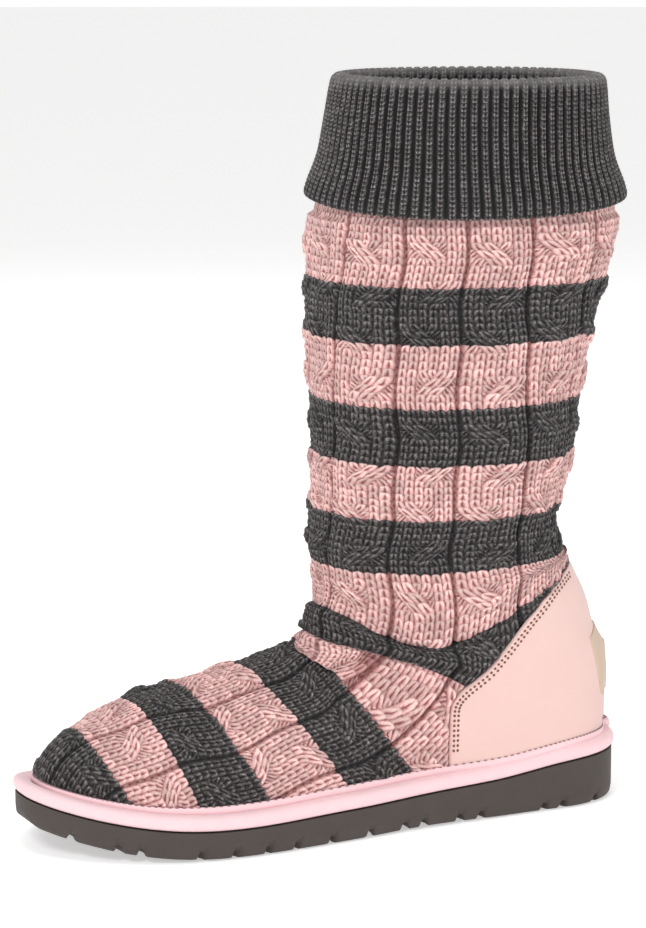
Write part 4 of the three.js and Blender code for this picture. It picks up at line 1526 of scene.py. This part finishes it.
class BOOT_OT_counter(bpy.types.Operator):
    """Makes the suede heel counter"""

    bl_idname = "boot.counter"
    bl_label = "Heel counter"

    def execute(self, context):
        suede = napped_material("counter suede", context.scene.boot_colours.counter_suede)
        foot = float(sole_top(np.array(0.0))) + WELT_HEIGHT * 0.55
        heights = np.linspace(foot - 0.002, COUNTER_HEIGHT, 90)
        reach = counter_reach(heights)

        def ends_of(i, row, lengths):
            half = len(row) // 2
            left = np.interp(-reach[i], -row[: half + 1, 0], lengths[: half + 1])
            return left, np.interp(reach[i], row[half:, 0], lengths[half:])

        flat = heel_sheet(heights, 150, ends_of)
        points = cushion(flat, COUNTER_THICKNESS, COUNTER_ROUND, COUNTER_SINK)
        low = sole_top(points[..., 0]) + WELT_HEIGHT * 0.5
        points[..., 2] = np.maximum(points[..., 2], low)
        bm = shape_grid(points)
        close_behind(bm, COUNTER_ROUND)
        finish_piece(bm, "counter_suede", suede, ("heel_counter",), merge=2e-6)
        return {"FINISHED"}


def close_behind(bm, depth):
    """Turns the free border of a sheet in towards what carries it."""
    bm.normal_update()
    border = [e for e in bm.edges if len(e.link_faces) == 1]
    made = bmesh.ops.extrude_edge_only(bm, edges=border)
    for v in made["geom"]:
        if isinstance(v, bmesh.types.BMVert):
            inward = sum((e.other_vert(v).normal for e in v.link_edges), Vector())
            v.co -= inward.normalized() * depth


class BOOT_OT_patch(bpy.types.Operator):
    """Makes the bare leather patch on the back of the counter"""

    bl_idname = "boot.patch"
    bl_label = "Heel patch"

    def execute(self, context):
        leather = napped_material("patch leather", context.scene.boot_colours.patch_leather)
        heights = np.linspace(PATCH_FOOT, PATCH_FOOT + PATCH_HEIGHT, 44)
        up = (heights - PATCH_FOOT) / PATCH_HEIGHT
        reach = PATCH_WIDTH / 2 * np.interp(up, PATCH_OUTLINE["up"], PATCH_OUTLINE["width"])

        def ends_of(i, row, lengths):
            behind = slice(HEEL_RAYS // 4, HEEL_RAYS - HEEL_RAYS // 4)
            across = -row[behind, 1]
            return np.interp([-reach[i], reach[i]], across, lengths[behind])

        flat = heel_sheet(heights, 60, ends_of)
        points = cushion(flat, PATCH_THICKNESS / 2, 0.001, COUNTER_SINK - COUNTER_THICKNESS)
        bm = shape_grid(points)
        close_behind(bm, 0.0014)
        finish_piece(bm, "patch_leather", leather, ("heel_patch",), merge=2e-6)
        return {"FINISHED"}


# Sewing

# Length and half width of a stitch
COUNTER_STITCH = (0.0013, 0.0006)
BAND_STITCH = (0.0017, 0.0004)
BAND_STITCHES = 130
BAND_THREAD_SHADE = 0.3


def thread_run(name, points, normals, size, material):
    """A row of short stitches, each lying along the row."""
    length, radius = size
    bm = bmesh.new()
    shape = Matrix.Diagonal((length / 2, radius, radius * 0.7, 1.0))
    for place, along, out in zip(to_frame(points), np.gradient(points, axis=0), normals):
        forward = Vector(along).normalized()
        outward = Vector(out).normalized()
        sideways = outward.cross(forward).normalized()
        turn = Matrix((forward, sideways, outward)).transposed().to_4x4()
        where = Matrix.Translation(Vector(place)) @ turn @ shape
        bmesh.ops.create_icosphere(bm, subdivisions=2, radius=1.0, matrix=where)
    return finish_piece(bm, name, material)


class BOOT_OT_sewing(bpy.types.Operator):
    """Sews the counter's edge and the band's lip"""

    bl_idname = "boot.sewing"
    bl_label = "Sewing"

    def execute(self, context):
        tones = context.scene.boot_colours
        thread = napped_material("thread", tones.thread)
        shade = tuple(tone * BAND_THREAD_SHADE for tone in tones.band_suede)
        pink = napped_material("band thread", shade)
        for side, label in ((1, "left"), (-1, "right")):
            for row, inwards in enumerate(STITCH_ROWS):
                x, z = counter_edge(np.linspace(0.04, 0.86, 46), inwards)
                keep = z > sole_top(x) + WELT_HEIGHT + 0.002
                places = side_points(x[keep], z[keep], side)
                places = places + field_normals(places) * (COUNTER_THICKNESS - COUNTER_SINK)
                name = f"counter_stitches_{label}_{row + 1}"
                out = field_normals(places)
                thread_run(name, places, out, COUNTER_STITCH, thread)
        places = flange_ring(BAND_STITCHES, 0.0095, 0.0013)
        up = np.tile([0.0, 0.0, 1.0], (len(places), 1))
        thread_run("band_stitches", places, up, BAND_STITCH, pink)
        return {"FINISHED"}


# Studio

TARGET = (0.109, 0.0, 0.150)
CAMERA_AZIMUTH = math.radians(24.2)
CAMERA_ELEVATION = math.radians(9.5)
CAMERA_DISTANCE = 1.440
CAMERA_LENS = 131.55
CAMERA_SHIFT = (-0.0006, 0.0108)
FLOOR_GLOW = 0.45

# Name, place, size and power
LIGHTS = (
    ("key", (1.3, 1.2, 1.5), 0.7, 16.0),
    ("top", (0.25, 0.3, 1.6), 0.8, 6.0),
    ("fill", (-1.3, 1.4, 0.8), 1.2, 4.0),
    ("back", (-0.3, -1.6, 1.3), 1.0, 5.0),
)


def area_light(name, place, size, power):
    lamp = bpy.data.lights.new(name, "AREA")
    lamp.shape = "DISK"
    lamp.size = size
    lamp.energy = power
    made = link(name, lamp)
    made.location = place
    made.rotation_euler = (Vector(place) - Vector(TARGET)).to_track_quat("Z", "Y").to_euler()


def studio_floor(tone):
    bm = bmesh.new()
    bmesh.ops.create_circle(bm, cap_ends=True, segments=96, radius=12.0)
    mesh = bpy.data.meshes.new("studio_floor")
    bm.to_mesh(mesh)
    bm.free()
    values = {
        "Base Color": rgba(tone),
        "Emission Color": (1.0, 1.0, 1.0, 1.0),
        "Emission Strength": FLOOR_GLOW,
        "Roughness": 0.9,
        "Specular IOR Level": 0.1,
    }
    mesh.materials.append(new_material("studio floor", values)[0])
    return link("studio_floor", mesh)


def studio_world():
    """White light all round, strongest near the horizon."""
    world = bpy.data.worlds.new("studio")
    world.use_nodes = True
    sky = Tree(world.node_tree)
    backdrop = sky.nodes["Background"]
    backdrop.inputs["Color"].default_value = (1.0, 0.995, 0.99, 1.0)
    height = sky.split(sky.place("Generated"))["Z"]
    low = sky.minus(1.0, sky.spread(height, 0.32, 0.5))
    sky.feed(sky.times_plus(low, 0.7, 0.35), backdrop.inputs["Strength"])
    return world


def studio_camera():
    lens = bpy.data.cameras.new("camera")
    lens.sensor_fit = "VERTICAL"
    lens.sensor_height = 36.0
    lens.lens = CAMERA_LENS
    lens.shift_x, lens.shift_y = CAMERA_SHIFT
    lens.clip_start = 0.05
    lens.clip_end = 60.0
    camera = bpy.data.objects.new("camera", lens)
    flat = math.cos(CAMERA_ELEVATION)
    across, along = math.sin(CAMERA_AZIMUTH) * flat, math.cos(CAMERA_AZIMUTH) * flat
    back = Vector((across, along, math.sin(CAMERA_ELEVATION)))
    camera.location = Vector(TARGET) + back * CAMERA_DISTANCE
    camera.rotation_euler = back.to_track_quat("Z", "Y").to_euler()
    bpy.context.scene.collection.objects.link(camera)
    return camera


class BOOT_OT_stage(bpy.types.Operator):
    """Sets the pale floor, the soft lights and the camera"""

    bl_idname = "boot.stage"
    bl_label = "Studio"

    def execute(self, context):
        scene = context.scene
        scene.view_settings.view_transform = "Standard"
        studio_floor(scene.boot_colours.floor)
        scene.world = studio_world()
        for light in LIGHTS:
            area_light(*light)
        scene.camera = studio_camera()
        return {"FINISHED"}


class BOOT_PT_panel(bpy.types.Panel):
    """Lists the steps that make the boot"""

    bl_label = "Knitted boot"
    bl_idname = "BOOT_PT_panel"
    bl_space_type = "VIEW_3D"
    bl_region_type = "UI"
    bl_category = "Boot"

    def draw(self, context):
        for step in STEPS:
            self.layout.operator(step.bl_idname)
        for group in (context.scene.knit_sizes, context.scene.boot_colours):
            for key in group.__annotations__:
                self.layout.prop(group, key)


STEPS = (
    BOOT_OT_stage,
    BOOT_OT_outsole,
    BOOT_OT_welt,
    BOOT_OT_insole,
    BOOT_OT_knit,
    BOOT_OT_lining,
    BOOT_OT_cuff,
    BOOT_OT_counter,
    BOOT_OT_patch,
    BOOT_OT_sewing,
)
CLASSES = (KnitSizes, BootColours, *STEPS, BOOT_PT_panel)


def register():
    for made in CLASSES:
        bpy.utils.register_class(made)
    bpy.types.Scene.knit_sizes = PointerProperty(type=KnitSizes)
    bpy.types.Scene.boot_colours = PointerProperty(type=BootColours)


def unregister():
    del bpy.types.Scene.boot_colours
    del bpy.types.Scene.knit_sizes
    for made in reversed(CLASSES):
        bpy.utils.unregister_class(made)


def main():
    register()
    for step in STEPS:
        family, action = step.bl_idname.split(".")
        if getattr(getattr(bpy.ops, family), action)() != {"FINISHED"}:
            raise RuntimeError(f"{step.bl_label} did not finish")


if __name__ == "__main__":
    main()
